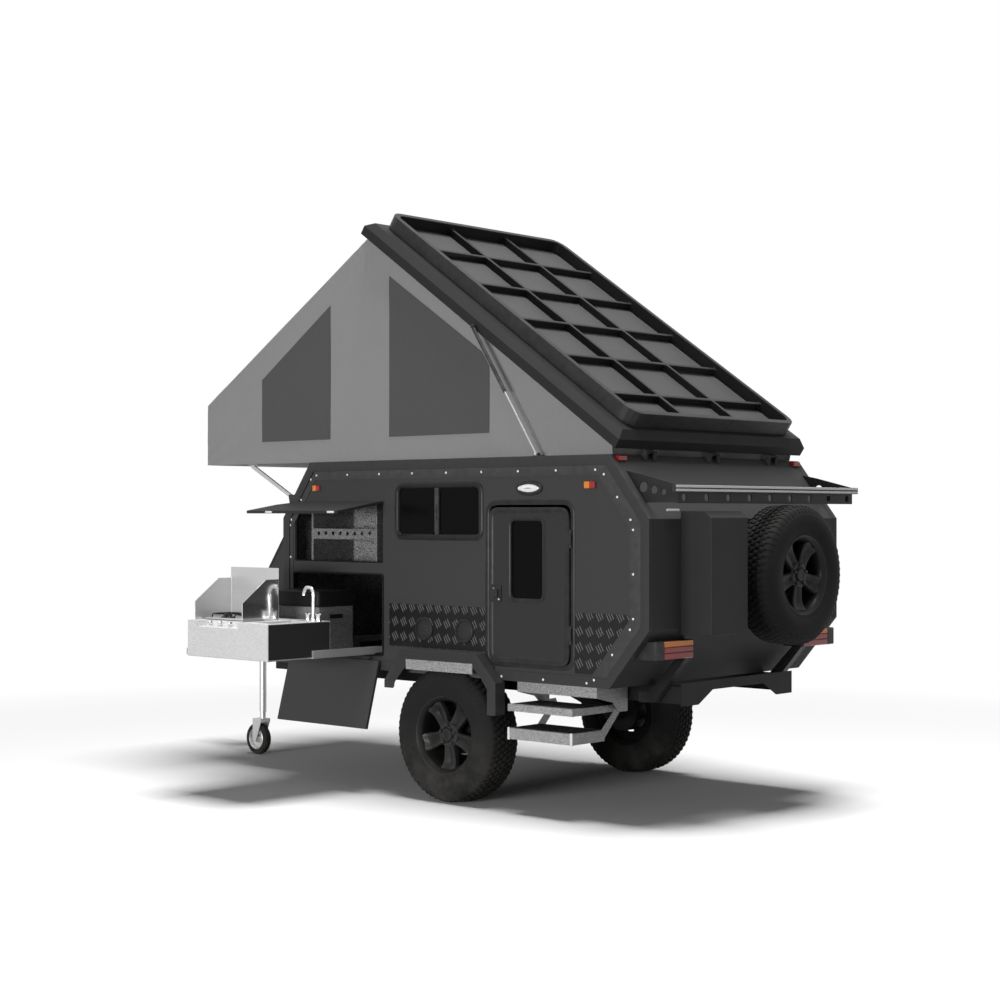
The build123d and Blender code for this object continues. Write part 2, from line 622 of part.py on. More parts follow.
def wheel_rim(plane):
    """A rim with its barrel, five spokes and hub, turned about the plane's normal, which points outward."""
    end = RIM_W / 2
    for low, high, radius in ((-end - 4, -end, RIM_DIA / 2), (-end, end, RIM_SEAT_DIA / 2), (end, end + 4, RIM_DIA / 2)):
        turned(plane, ((low, radius), (high, radius)))
    turned(plane, ((-end - 4, RIM_INNER_DIA / 2), (end + 4, RIM_INNER_DIA / 2)), mode=Mode.SUBTRACT)
    inner = RIM_INNER_DIA / 2
    with BuildSketch(plane.offset(RIM_FACE)) as face:
        flats(HUB_DIA / 2, SMALL_SIDES)
        for k in range(SPOKES):
            turn = radians(90 + 360 * k / SPOKES)
            out, across = Vector(cos(turn), sin(turn)), Vector(-sin(turn), cos(turn))
            spoke = [out * HUB_DIA / 3 - across * SPOKE_W * 0.36, out * (inner + 3) - across * SPOKE_W / 2,
                     out * (inner + 3) + across * SPOKE_W / 2, out * HUB_DIA / 3 + across * SPOKE_W * 0.36]
            with BuildLine():
                Polyline(*spoke, close=True)
            make_face()
        Circle(HUB_BORE / 2, mode=Mode.SUBTRACT)
    extrude(face.sketch, amount=SPOKE_T)


WHEEL_PLANES = {
    "left": Plane(origin=(0, WHEEL_Y, TYRE_DIA / 2), x_dir=(1, 0, 0), z_dir=(0, 1, 0)),
    "right": Plane(origin=(0, -WHEEL_Y, TYRE_DIA / 2), x_dir=(1, 0, 0), z_dir=(0, -1, 0)),
}
for side, plane in WHEEL_PLANES.items():
    with BuildPart() as tyre_part:
        tyre(plane)
    keep(tyre_part, f"tyre_{side}")
    with BuildPart() as rim_part:
        wheel_rim(plane)
    keep(rim_part, f"rim_{side}")

SPARE_PLANE = Plane(origin=(REAR_X - 4 - TYRE_W / 2, SPARE_Y, SPARE_Z), x_dir=(0, 1, 0), z_dir=(-1, 0, 0))
with BuildPart() as spare_tyre:
    tyre(SPARE_PLANE)
keep(spare_tyre, "spare_tyre")
with BuildPart() as spare_rim:
    wheel_rim(SPARE_PLANE)
keep(spare_rim, "spare_rim")
with BuildPart() as spare_carrier:
    rod((REAR_X, SPARE_Y, SPARE_Z), (REAR_X - 4 - TYRE_W / 2 - RIM_FACE, SPARE_Y, SPARE_Z), 60,
        sides=SMALL_SIDES)
    rod((REAR_X - 100, SPARE_Y, SPARE_Z), (REAR_X - 4 - TYRE_W / 2 - 80, SPARE_Y, SPARE_Z), 30,
        sides=BAR_SIDES)
keep(spare_carrier, "spare_carrier")

# Rear storage box, lamp housings with the legs under them, lamps and tray
REAR_BOX_X = REAR_X - 205
with BuildPart() as rear_box:
    prism_xz(((REAR_X, 1035), (REAR_X, 1704), (REAR_BOX_X + 48, 1704), (REAR_BOX_X, 1668), (REAR_BOX_X, 1035)), 309, 648)
keep(rear_box, "rear_box")

LAMP_Z = (905, 1005)
LAMP_X = REAR_X - 12
LAMP_T = 18
LAMP_Y = (545, HALF_W - 40)
with BuildPart() as bumper:
    for side in (-1, 1):
        block(LAMP_X + LAMP_T, TOP_REAR_X, side * LAMP_Y[0], side * LAMP_Y[1], *LAMP_Z)
        leg_x = LAMP_X + LAMP_T
        prism_xz(((leg_x - 2, LAMP_Z[0]), (-1256, 647), (-1150, RAIL_Z), (-1150, 700), (-1222, 709),
                  (leg_x + 62, LAMP_Z[0])), *sorted((side * end_y, side * (end_y + 50))))
    prism_xz(SIDE, -HALF_W, HALF_W, Mode.SUBTRACT)
keep(bumper, "rear_bumper")

with BuildPart() as tail_lamps:
    for side in (-1, 1):
        block(LAMP_X, LAMP_X + LAMP_T, side * LAMP_Y[0], side * LAMP_Y[1], *LAMP_Z)
        block(TOP_REAR_X - 40, TOP_REAR_X - 2, side * (HALF_W - 102), side * (HALF_W - 27), 1975, 2008)
    prism_xz(SIDE, -HALF_W, HALF_W, Mode.SUBTRACT)
keep(tail_lamps, "tail_lamps")

TRAY_X_OUT = -1622
TRAY_Y = (HALF_W - 57, HALF_W - 49)
RAIL_HALF_L = HALF_W - 12
with BuildPart() as rear_tray:
    block(TRAY_X_OUT, TRAY_X_OUT + 8, -TRAY_Y[1], TRAY_Y[1], TRAY_LOW_Z, 1806)
    for side in (-1, 1):
        prism_xz(((rear_x(1924), 1924), (-1380, 1903), (TRAY_X_OUT + 8, 1846), (TRAY_X_OUT + 8, 1750),
                  (rear_x(1750), 1750)), *sorted((side * TRAY_Y[0], side * TRAY_Y[1])))
    for x, z, radius in ((-1393, 1834, 27), (-1465, 1818, 21), (-1528, 1806, 16)):
        for side in (-1, 1):
            rod((x, side * (TRAY_Y[0] - 1), z), (x, side * (TRAY_Y[1] + 1), z), radius, Mode.SUBTRACT, BAR_SIDES)
    with BuildSketch(Plane.YZ.offset(TRAY_X_OUT)) as holes:
        with Locations((0, 1777)):
            with GridLocations(202, 1, 9, 1):
                flats(20, BAR_SIDES)
    extrude(holes.sketch, amount=8, mode=Mode.SUBTRACT)
    block(TRAY_X_OUT - 18, TRAY_X_OUT + 8, -RAIL_HALF_L, RAIL_HALF_L, 1806, 1844)
keep(rear_tray, "rear_tray")

# Front storage box on the drawbar, with a sloping lid hung at its top
NOSE_HALF_W = HALF_W - 137
NOSE = ((FRONT_X, 1600), (1560, 1600), (1960, 1045), (1960, 760), (FRONT_X, 760))
NOSE_T = 4
NOSE_LID_T = 22
slope = Vector(400, 0, -555).normalized()
NOSE_PLANE = Plane(origin=(1560, 0, 1600), x_dir=(slope.X, 0, slope.Z), z_dir=(-slope.Z, 0, slope.X))
NOSE_PIN = (6, 9)
NOSE_PIN_X = 1560 + NOSE_PIN[0] * slope.X - NOSE_PIN[1] * slope.Z
NOSE_PIN_Z = 1600 + NOSE_PIN[0] * slope.Z + NOSE_PIN[1] * slope.X
NOSE_HINGE_Y = (-500, 500)
with BuildPart() as front_box:
    prism_xz(NOSE, -NOSE_HALF_W, NOSE_HALF_W)
    with BuildSketch(Plane.XZ.offset(-NOSE_HALF_W + NOSE_T)) as hollow:
        with BuildLine():
            Polyline((FRONT_X + NOSE_T, 1600 - NOSE_T), (1558, 1600 - NOSE_T), (1700, 1500), (1990, 1100),
                     (1990, 1045), (1960 - NOSE_T, 1045), (1960 - NOSE_T, 760 + NOSE_T),
                     (FRONT_X + NOSE_T, 760 + NOSE_T), close=True)
        make_face()
    extrude(hollow.sketch, amount=2 * (NOSE_HALF_W - NOSE_T), mode=Mode.SUBTRACT)
    for y, flat in zip(NOSE_HINGE_Y, PIN_FLATS):
        pin_bar((NOSE_PIN_X, y - 50, NOSE_PIN_Z), (NOSE_PIN_X, y + 50, NOSE_PIN_Z), PIN_R, flat)
        for end in (y - 50, y + 31):
            rod((NOSE_PIN_X, end, NOSE_PIN_Z), (NOSE_PIN_X, end + 19, NOSE_PIN_Z), KNUCKLE_R, sides=KNUCKLE_SIDES)
            prism_xz(((1530, 1600), (1530, 1604), (NOSE_PIN_X, NOSE_PIN_Z + 4), (NOSE_PIN_X, NOSE_PIN_Z),
                      (1560, 1600)), end, end + 19)
keep(front_box, "front_box")

with BuildPart(NOSE_PLANE) as front_box_lid:
    block(14, 684, -NOSE_HALF_W, NOSE_HALF_W, 1, NOSE_LID_T)
    for y in NOSE_HINGE_Y:
        block(NOSE_PIN[0], 20, y - 30, y + 30, NOSE_PIN[1] - 2, NOSE_PIN[1] + 3)
        cross_bar(NOSE_PLANE, NOSE_PIN, y - 30, y + 30, KNUCKLE_R, sides=KNUCKLE_SIDES)
        cross_bar(NOSE_PLANE, NOSE_PIN, y - 31, y + 31, PIN_R + PIN_GAP, Mode.SUBTRACT, KNUCKLE_SIDES)
keep(front_box_lid, "front_box_lid")

# Props under the bed platform, hung on the front wall
PROP_Y = PLAT_HALF_W - 2
PROP_PIVOT = (1482, 1800)
PROP_TIP = (1862, 1996)
with BuildPart() as props:
    for side in (-1, 1):
        y0, y1 = sorted((side * (PROP_Y - 7), side * (PROP_Y + 7)))
        (px, pz), (tx, tz) = PROP_PIVOT, PROP_TIP
        prism_xz(((px - 8, pz + 9), (px + 8, pz - 9), (tx + 12, tz - 6), (tx + 12, tz + 10), (tx - 12, tz + 10)), y0, y1)
        rod((px, side * (PROP_Y - 7), pz), (px, side * (PROP_Y + 7), pz), 12, sides=BAR_SIDES)
        rod((px, side * (PROP_Y - 8), pz), (px, side * (PROP_Y + 8), pz), 5 + PIN_GAP, Mode.SUBTRACT, BAR_SIDES)
        block(tx - 60, tx + 30, side * (PROP_Y - 14), side * (PROP_Y + 14), tz + 10, tz + 14)
keep(props, "platform_props")

# Bed platform that folds back over the roof
with BuildPart() as platform:
    x0 = PLAT_AXIS_X + PLAT_SET_BACK
    block(x0, x0 + PLAT_L, -PLAT_HALF_W, PLAT_HALF_W, PLAT_AXIS_Z - PLAT_T / 2, PLAT_AXIS_Z + PLAT_T / 2)
    for y in (-600, 600):
        block(PLAT_AXIS_X, x0 + 20, y - 30, y + 30, PLAT_AXIS_Z - 2, PLAT_AXIS_Z + 2)
        rod((PLAT_AXIS_X, y - 30, PLAT_AXIS_Z), (PLAT_AXIS_X, y + 30, PLAT_AXIS_Z), 8, sides=KNUCKLE_SIDES)
        rod((PLAT_AXIS_X, y - 31, PLAT_AXIS_Z), (PLAT_AXIS_X, y + 31, PLAT_AXIS_Z), PLAT_PIN_R + PIN_GAP, Mode.SUBTRACT,
            KNUCKLE_SIDES)
keep(platform, "bed_platform")

# Roof lid in its own frame, with the pins that its gas struts hang on
STRUT_Y = LID_HALF_W + 22
STRUT_ON_LID = (1262, 16)
STRUT_PIN_R = 5
tilt = radians(LID_OPEN_DEG)
LID_X = HINGE_X + LID_SET[0] * cos(tilt) - LID_SET[1] * sin(tilt)
LID_Z = HINGE_Z + LID_SET[0] * sin(tilt) + LID_SET[1] * cos(tilt)
LID = Plane(origin=(LID_X, 0, LID_Z), x_dir=(cos(tilt), 0, sin(tilt)), z_dir=(-sin(tilt), 0, cos(tilt)))
with BuildPart(LID) as lid_shell:
    block(0, LID_L, -LID_HALF_W, LID_HALF_W, 0, SKIRT_H)
    with BuildSketch(LID.offset(SKIRT_H)) as low:
        with Locations((LID_L / 2, 0)):
            Rectangle(LID_L, 2 * LID_HALF_W)
    with BuildSketch(LID.offset(SKIRT_H + BEVEL_H)) as high:
        with Locations((LID_L / 2, 0)):
            Rectangle(LID_L - 2 * BEVEL_IN, 2 * (LID_HALF_W - BEVEL_IN))
    loft(sections=[low.sketch.faces()[0], high.sketch.faces()[0]])
    block(SKIRT_T, LID_L - SKIRT_T, -LID_HALF_W + SKIRT_T, LID_HALF_W - SKIRT_T, 0, SKIRT_H, Mode.SUBTRACT)
    block(BEVEL_IN + 12, LID_L - BEVEL_IN - 12, -LID_HALF_W + BEVEL_IN + 12, LID_HALF_W - BEVEL_IN - 12,
          SKIRT_H, SKIRT_H + BEVEL_H - 12, Mode.SUBTRACT)
    for y in LID_HINGE_Y:
        block(-LID_SET[0], 40, y - 30, y + 30, -3, 0)
        pin = (-LID_SET[0], -LID_SET[1])
        cross_bar(LID, pin, y - 30, y + 30, KNUCKLE_R, sides=KNUCKLE_SIDES)
        cross_bar(LID, pin, y - 31, y + 31, PIN_R + PIN_GAP, Mode.SUBTRACT, KNUCKLE_SIDES)
    for side in (-1, 1):
        cross_bar(LID, STRUT_ON_LID, side * (LID_HALF_W - 2), side * (STRUT_Y + 8), STRUT_PIN_R)
keep(lid_shell, "lid_shell")

with BuildPart(LID) as lid_tray:
    base = SKIRT_H + BEVEL_H
    rim = (*TRAY_X, -TRAY_HALF_W, TRAY_HALF_W)
    prism_xy(rounded(rim, TRAY_R), base, RIM_H, frame=LID)
    prism_xy(rounded(grown(rim, -RIM_T), TRAY_R - RIM_T), DECK_H, RIM_H, Mode.SUBTRACT, LID)
    for x in CROSS_RIB_X:
        block(x - RIB_T / 2, x + RIB_T / 2, -TRAY_HALF_W + RIM_T, TRAY_HALF_W - RIM_T, DECK_H, RIB_H)
    for y in LONG_RIB_Y:
        block(TRAY_X[0] + RIM_T, TRAY_X[1] - RIM_T, y - RIB_T / 2, y + RIB_T / 2, DECK_H, RIB_H)
keep(lid_tray, "lid_tray")

def lid_point(along, height, y):
    """A point of the open lid, given along it and above its lower edge."""
    return (LID_X + along * cos(tilt) - height * sin(tilt), y, LID_Z + along * sin(tilt) + height * cos(tilt))


# Gas struts from the roof's edge to the lid's skirt
STRUT_TOP = lid_point(*STRUT_ON_LID, STRUT_Y)
STRUT_FOOT = (-683, STRUT_Y, 2026)
TUBE_L = 462
TUBE_R = 11
foot = Vector(*STRUT_FOOT)
top = Vector(*STRUT_TOP)
along = (foot - top).normalized()
with BuildPart() as strut_tubes:
    for side in (-1, 1):
        start = top + along * 14
        end = top + along * TUBE_L
        rod((start.X, side * STRUT_Y, start.Z), (end.X, side * STRUT_Y, end.Z), TUBE_R, sides=BAR_SIDES)
        rod((top.X, side * (STRUT_Y - 8), top.Z), (top.X, side * (STRUT_Y + 8), top.Z), TUBE_R, sides=BAR_SIDES)
        block_end = top + along * 20
        rod((top.X, side * STRUT_Y, top.Z), (block_end.X, side * STRUT_Y, block_end.Z), 7, sides=BAR_SIDES)
        rod((top.X, side * (STRUT_Y - 8), top.Z), (top.X, side * (STRUT_Y + 8), top.Z), STRUT_PIN_R + PIN_GAP,
            Mode.SUBTRACT, BAR_SIDES)
        near = top + along * 24
        rod((near.X, side * STRUT_Y, near.Z), (end.X, side * STRUT_Y, end.Z), 5.3, Mode.SUBTRACT, BAR_SIDES)
keep(strut_tubes, "lid_strut_tubes")

with BuildPart() as strut_rods:
    for side in (-1, 1):
        start = top + along * (TUBE_L - 40)
        rod((start.X, side * STRUT_Y, start.Z), (foot.X, side * STRUT_Y, foot.Z), 5, sides=BAR_SIDES)
        rod((foot.X, side * (STRUT_Y - 6), foot.Z), (foot.X, side * (STRUT_Y + 6), foot.Z), 9, sides=BAR_SIDES)
keep(strut_rods, "lid_strut_rods")

# Fixed halves of every hinge, the props' brackets and the gas struts' studs
# In each hinge's pair the first pin is round, and the others have flats
with BuildPart() as hinges:
    for z, flat in zip(DOOR_HINGE_Z, PIN_FLATS):
        pin_bar((*HINGE_DOOR, z - 50), (*HINGE_DOOR, z + 50), PIN_R, flat)
        for end in (z - 50, z + 31):
            rod((*HINGE_DOOR, end), (*HINGE_DOOR, end + 19), KNUCKLE_R, sides=KNUCKLE_SIDES)
            block(HINGE_DOOR[0] - 8, HINGE_DOOR[0], HALF_W + 3, HINGE_DOOR[1], end, end + 19)
    for y, z in ((HATCH_Y, HATCH_Z), (DROP_Y, DROP_Z)):
        for x, flat in zip(BAY_HINGE_X, PIN_FLATS):
            pin_bar((x - 50, y, z), (x + 50, y, z), PIN_R, flat)
            for end in (x - 50, x + 31):
                rod((end, y, z), (end + 19, y, z), KNUCKLE_R, sides=KNUCKLE_SIDES)
                block(end, end + 19, HALF_W, y, z - 4, z + 4)
    for y, flat in zip((-600, 600), PIN_FLATS):
        pin_bar((PLAT_AXIS_X, y - 50, PLAT_AXIS_Z), (PLAT_AXIS_X, y + 50, PLAT_AXIS_Z), PLAT_PIN_R, flat)
        for end in (y - 50, y + 31):
            rod((PLAT_AXIS_X, end, PLAT_AXIS_Z), (PLAT_AXIS_X, end + 19, PLAT_AXIS_Z), 8, sides=KNUCKLE_SIDES)
            block(PLAT_AXIS_X - 40, PLAT_AXIS_X, end, end + 19, ROOF_Z, PLAT_AXIS_Z)
    for side, flat in zip((-1, 1), PIN_FLATS):
        for y in (PROP_Y - 14, PROP_Y + 8):
            y0, y1 = sorted((side * y, side * (y + 6)))
            prism_xz(((FRONT_X - 60, 1752), (FRONT_X - 2, 1664), (FRONT_X + 2, 1664), (1494, 1790), (1494, 1812),
                      (1470, 1812), (FRONT_X - 100, 1806)), y0, y1)
        pin_bar((PROP_PIVOT[0], side * (PROP_Y - 14), PROP_PIVOT[1]), (PROP_PIVOT[0], side * (PROP_Y + 14), PROP_PIVOT[1]),
                5, flat)
    for y in LID_HINGE_Y:
        pin_bar((HINGE_X, y - 50, HINGE_Z), (HINGE_X, y + 50, HINGE_Z), PIN_R, y > LID_HINGE_Y[0])
        for end in (y - 50, y + 31):
            rod((HINGE_X, end, HINGE_Z), (HINGE_X, end + 19, HINGE_Z), KNUCKLE_R, sides=KNUCKLE_SIDES)
            prism_xz(((HINGE_X - KNUCKLE_R, HINGE_Z), (HINGE_X, HINGE_Z), (TOP_REAR_X + 20, ROOF_Z + 4),
                      (TOP_REAR_X + 20, ROOF_Z - 4), (HINGE_X, ROOF_Z - 30)), end, end + 19)
    for side in (-1, 1):
        stud_end = STRUT_Y - 6.4
        block(foot.X - 30, foot.X + 30, side * IN_Y, side * stud_end, ROOF_Z, ROOF_Z + 4)
        rod((foot.X, side * (LID_HALF_W - 8), foot.Z), (foot.X, side * stud_end, foot.Z), 6, sides=BAR_SIDES)
        block(foot.X - 8, foot.X + 8, side * (LID_HALF_W - 8), side * LID_HALF_W, ROOF_Z, foot.Z)
    prism_xz(SIDE, -HALF_W, HALF_W, Mode.SUBTRACT)
keep(hinges, "body_hinges")

# Tent: one shell, open below and under the lid
tent_front = lid_point(2380, -6, 0)
tent_profile = (
    (TENT_FRONT_X, ROOF_Z + 2), (TENT_FRONT_X, TENT_EAVE_Z), (tent_front[0], tent_front[2]),
    lid_point(2374, 25, 0)[::2], lid_point(50, 25, 0)[::2], (-1180, ROOF_Z + 2),
)
with BuildPart() as tent:
    prism_xz(tent_profile, -TENT_HALF_W, TENT_HALF_W)
    with BuildSketch(Plane.XZ.offset(-TENT_HALF_W + TENT_T)) as hollow:
        with BuildLine():
            Polyline(*tent_profile, close=True)
        make_face()
        offset(amount=-TENT_T, kind=Kind.INTERSECTION, mode=Mode.REPLACE)
    extrude(hollow.sketch, amount=2 * (TENT_HALF_W - TENT_T), mode=Mode.SUBTRACT)
    block(-1150, TENT_FRONT_X - TENT_T, -TENT_HALF_W + TENT_T, TENT_HALF_W - TENT_T, ROOF_Z, ROOF_Z + 60,
          Mode.SUBTRACT)
keep(tent, "tent")

# Kitchen slide: unit with hob and sink, wind shield, tap and fridge on a carriage between runners
SHIELD = (870, 1310, HALF_W + 558, HALF_W + 838)
SHIELD_T = 3
SHIELD_H = 312
SLOT = 0.6
x0, x1, y0, y1, z0, z1 = UNIT
UNIT_T = 4
NOTCH = (880, 1256, y1 - 76, z1 - 36)
TAP_X = x0 + 62
TAP_Y = y0 + 76
BASIN = (x0 + 40, x0 + 225, y0 + 110, y1 - 70, z1 - 150)
with BuildPart() as kitchen_unit:
    block(*UNIT)
    block(x0 + UNIT_T, x1 - UNIT_T, y0 + UNIT_T, y1 - UNIT_T, z0 + UNIT_T, z1 - UNIT_T, Mode.SUBTRACT)
    bx0, bx1, by0, by1, bz = BASIN
    block(bx0 - UNIT_T, bx1 + UNIT_T, by0 - UNIT_T, by1 + UNIT_T, bz - UNIT_T, z1)
    block(bx0, bx1, by0, by1, bz, z1, Mode.SUBTRACT)
    sx0, sx1, sy0, sy1 = SHIELD
    block(sx0 - SLOT, sx1 + SLOT, sy0 - SLOT, sy0 + SHIELD_T + SLOT, z1 - 20, z1, Mode.SUBTRACT)
    for x in (sx0, sx1 - SHIELD_T):
        block(x - SLOT, x + SHIELD_T + SLOT, sy0, sy1 + SLOT, z1 - 20, z1, Mode.SUBTRACT)
    nx0, nx1, ny, nz = NOTCH
    block(nx0 - UNIT_T, nx1 + UNIT_T, ny - UNIT_T, y1, nz - UNIT_T, z1)
    block(nx0, nx1, ny, y1, nz, z1, Mode.SUBTRACT)
    for start, end, radius in (((0, 0), (0, 165), 9), ((0, 165), (-20, 195), 9), ((-20, 195), (-60, 195), 8),
                               ((-60, 195), (-80, 165), 8)):
        rod((TAP_X - start[0], TAP_Y, z1 + start[1]), (TAP_X - end[0], TAP_Y, z1 + end[1]), radius, sides=BAR_SIDES)
    for x in (TAP_X - 45, TAP_X + 45):
        rod((x, TAP_Y, z1), (x, TAP_Y, z1 + 30), 13, sides=BAR_SIDES)
keep(kitchen_unit, "kitchen_unit")

with BuildPart() as shield:
    block(sx0, sx1, sy0, sy0 + SHIELD_T, z1 - 2, z1 + SHIELD_H)
    for x in (sx0, sx1 - SHIELD_T):
        with BuildSketch(Plane.YZ.offset(x)) as wing:
            with BuildLine():
                Polyline((sy0, z1 - 2), (sy1, z1 - 2), (sy1, z1 + 112), (sy1 - 180, z1 + 246),
                         (sy0, z1 + 246), close=True)
            make_face()
        extrude(wing.sketch, amount=SHIELD_T)
keep(shield, "wind_shield")

with BuildPart() as stove:
    block(sx0 + 20, sx1 - 20, sy0 + 20, ny - UNIT_T, z1, z1 + 16)
    for k in range(4):
        x = nx0 + 54 + 92 * k
        rod((x, ny, nz + 20), (x, ny + 26, nz + 20), 15, sides=BAR_SIDES)
keep(stove, "hob")

with BuildPart() as fridge:
    block(*FRIDGE)
keep(fridge, "fridge")

RUNNER_Z = (846, 886)
RUNNER_IN_Y = HALF_W - 227
RUNNER_OUT_Y = HALF_W + 533
PAN_Y = HALF_W + 33
PAN_Z = (839, 842)
with BuildPart() as runners_moving:
    for rx0, rx1, inner in ((594, 606, 612), (1346, 1358, 1345)):
        block(rx0, rx1, RUNNER_IN_Y, RUNNER_OUT_Y if rx0 < x0 else y1, *RUNNER_Z)
        block(min(rx0, inner), max(rx1, inner), PAN_Y, RUNNER_OUT_Y, PAN_Z[0], RUNNER_Z[0])
    block(606, 1346, PAN_Y, y0, *PAN_Z)
    block(700, 1300, PAN_Y, y0, PAN_Z[1], FRIDGE[4])
    block(UNIT[0], UNIT[1], y0, y1, PAN_Z[0], z0)
keep(runners_moving, "slide_runners_inner")

with BuildPart() as runners_fixed:
    for rx0, rx1 in ((580, 594 - GAP), (1358 + GAP, 1372)):
        block(rx0, rx1, BAY_BACK_Y + 10, IN_Y - 7, *RUNNER_Z)
        for y in (-100, 350, IN_Y - 87):
            block(rx0, rx1, y, y + 60, FLOOR_Z + FLOOR_T + 8, RUNNER_Z[0])
keep(runners_fixed, "slide_runners_outer")

# Entry steps: two treads on one frame that swings under the floor
STEP_T = 6
BRACKET_Y = STEP_PIVOT_Y + 246
TREADS = ((582, 621), (425, 487))
TREAD_DEPTH = 280
STEP_PIN_R = 8
with BuildPart() as step_bracket:
    for x0, x1 in ((STEP_X[0] - 48, STEP_X[0] - 40), (STEP_X[1] + 56, STEP_X[1] + 64)):
        with BuildSketch(Plane.YZ.offset(x0)) as flange:
            with BuildLine():
                Polyline((STEP_PIVOT_Y - 25, FLOOR_Z), (BRACKET_Y, FLOOR_Z), (BRACKET_Y, 674), (STEP_PIVOT_Y + 100, 640),
                         (STEP_PIVOT_Y + 40, 586), (STEP_PIVOT_Y - 25, 586), close=True)
            make_face()
        extrude(flange.sketch, amount=x1 - x0)
    block(STEP_X[0] - 48, STEP_X[1] + 64, BRACKET_Y - 6, BRACKET_Y, 674, FLOOR_Z)
    for x0, x1 in ((STEP_X[0] - 48, STEP_X[0] + 6), (STEP_X[1] - 6, STEP_X[1] + 64)):
        rod((x0, STEP_PIVOT_Y, STEP_PIVOT_Z), (x1, STEP_PIVOT_Y, STEP_PIVOT_Z), STEP_PIN_R)
keep(step_bracket, "step_bracket")

with BuildPart() as steps:
    inner_y = STEP_Y - TREAD_DEPTH
    for low, high in TREADS:
        block(*STEP_X, inner_y, STEP_Y, low, high)
        block(STEP_X[0] + STEP_T, STEP_X[1] - STEP_T, inner_y + STEP_T, STEP_Y - STEP_T, low - 1, high - 8, Mode.SUBTRACT)
    for x0 in (STEP_X[0], STEP_X[1] - STEP_T):
        with BuildSketch(Plane.YZ.offset(x0)) as arm:
            with BuildLine():
                Polyline((inner_y + 10, 582), (inner_y + 10, 621), (STEP_PIVOT_Y - 10, 624), (STEP_PIVOT_Y - 20, 605),
                         (STEP_PIVOT_Y - 10, 586), close=True)
            make_face()
            with BuildLine():
                Polyline((STEP_PIVOT_Y - 16, 612), (STEP_PIVOT_Y + 20, 600), (inner_y + 25, 487), (inner_y + 25, 425),
                         (inner_y + 17, 425), (STEP_PIVOT_Y - 10, 572), close=True)
            make_face()
        extrude(arm.sketch, amount=STEP_T)
    for x0 in (STEP_X[0] - 1, STEP_X[1] - STEP_T - 1):
        rod((x0, STEP_PIVOT_Y, STEP_PIVOT_Z), (x0 + STEP_T + 2, STEP_PIVOT_Y, STEP_PIVOT_Z), STEP_PIN_R + PIN_GAP,
            Mode.SUBTRACT, BAR_SIDES)
keep(steps, "entry_steps")

os.makedirs("parts", exist_ok=True)
for part in PIECES:
    name = part.label
    moved = part.moved(TO_BALL)
    moved.label = name
    export_step(moved, f"parts/{name}.step")
    print(name, len(part.solids()), round(part.volume / 1000), "cm3")
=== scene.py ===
import math

import bmesh
import bpy
import numpy as np
from bpy.props import FloatProperty, FloatVectorProperty, PointerProperty
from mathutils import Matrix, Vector


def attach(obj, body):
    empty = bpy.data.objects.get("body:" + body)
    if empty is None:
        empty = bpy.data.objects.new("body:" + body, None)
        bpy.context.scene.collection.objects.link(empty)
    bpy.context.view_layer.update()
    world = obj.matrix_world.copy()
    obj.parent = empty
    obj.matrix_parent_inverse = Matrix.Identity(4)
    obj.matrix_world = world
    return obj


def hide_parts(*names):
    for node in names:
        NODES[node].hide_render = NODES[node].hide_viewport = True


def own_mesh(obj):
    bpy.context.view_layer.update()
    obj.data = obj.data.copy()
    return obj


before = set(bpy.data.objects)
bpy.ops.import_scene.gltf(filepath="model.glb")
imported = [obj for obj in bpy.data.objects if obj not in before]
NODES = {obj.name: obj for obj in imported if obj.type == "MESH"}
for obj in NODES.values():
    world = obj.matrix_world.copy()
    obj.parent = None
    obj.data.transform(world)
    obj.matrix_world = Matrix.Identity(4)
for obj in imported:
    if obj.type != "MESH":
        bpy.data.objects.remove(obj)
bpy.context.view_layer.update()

bl_info = {
    "name": "Camper trailer",
    "version": (1, 0, 0),
    "blender": (4, 5, 0),
    "location": "3D View > Sidebar > Camper",
    "description": "Off-road camper trailer with its roof, kitchen and steps out, dressed around its packed parts",
    "category": "Object",
}

# All shapes below are in millimetres from the axle line on the ground: X forward, Y left, Z up.
BALL = np.array((3150.0, 0.0, 690.0))
HALF_W = 917.0
TYRE_R = 398.0
WHEEL_Y = 850.0
SPARE = np.array((-1614.5, -190.0, 1342.0))
LID_TILT = math.radians(34.4)
LID_ORIGIN = np.array((
    -1237 + 14 * math.cos(LID_TILT) - 6 * math.sin(LID_TILT), 0.0,
    2032 + 14 * math.sin(LID_TILT) + 6 * math.cos(LID_TILT),
))


def millimetres(length):
    """A length in millimetres from one in metres, free of single-precision remainders."""
    return round(1000 * length, 3)


def shade(red, green=None, blue=None):
    """A colour for the shader from screen levels of 0 to 255; one level alone gives a grey."""
    levels = np.array((red, red if green is None else green, red if blue is None else blue)) / 255
    return tuple(float(v) for v in np.where(levels <= 0.04045, levels / 12.92, ((levels + 0.055) / 1.055) ** 2.4))


# ---- Shapes, worked out as whole grids of points

def grid(points, wrap_u=False, wrap_v=False, cap_u=False, cap_v=False):
    """A surface P(u, v) from its grid of points. Each cell is a face; a wrapped direction joins on to its own start,
    and a capped one closes its first and last line with one face each."""
    rows, columns = points.shape[:2]
    index = np.arange(rows * columns).reshape(rows, columns)
    full = np.concatenate((index, index[:1])) if wrap_u else index
    full = np.concatenate((full, full[:, :1]), axis=1) if wrap_v else full
    quads = np.stack((full[:-1, :-1], full[1:, :-1], full[1:, 1:], full[:-1, 1:]), axis=-1).reshape(-1, 4)
    faces = [quads]
    if cap_u:
        faces += [index[:1], index[-1:, ::-1]]
    if cap_v:
        faces += [index[:, 0][None, ::-1], index[:, -1][None]]
    return points.reshape(-1, 3), faces


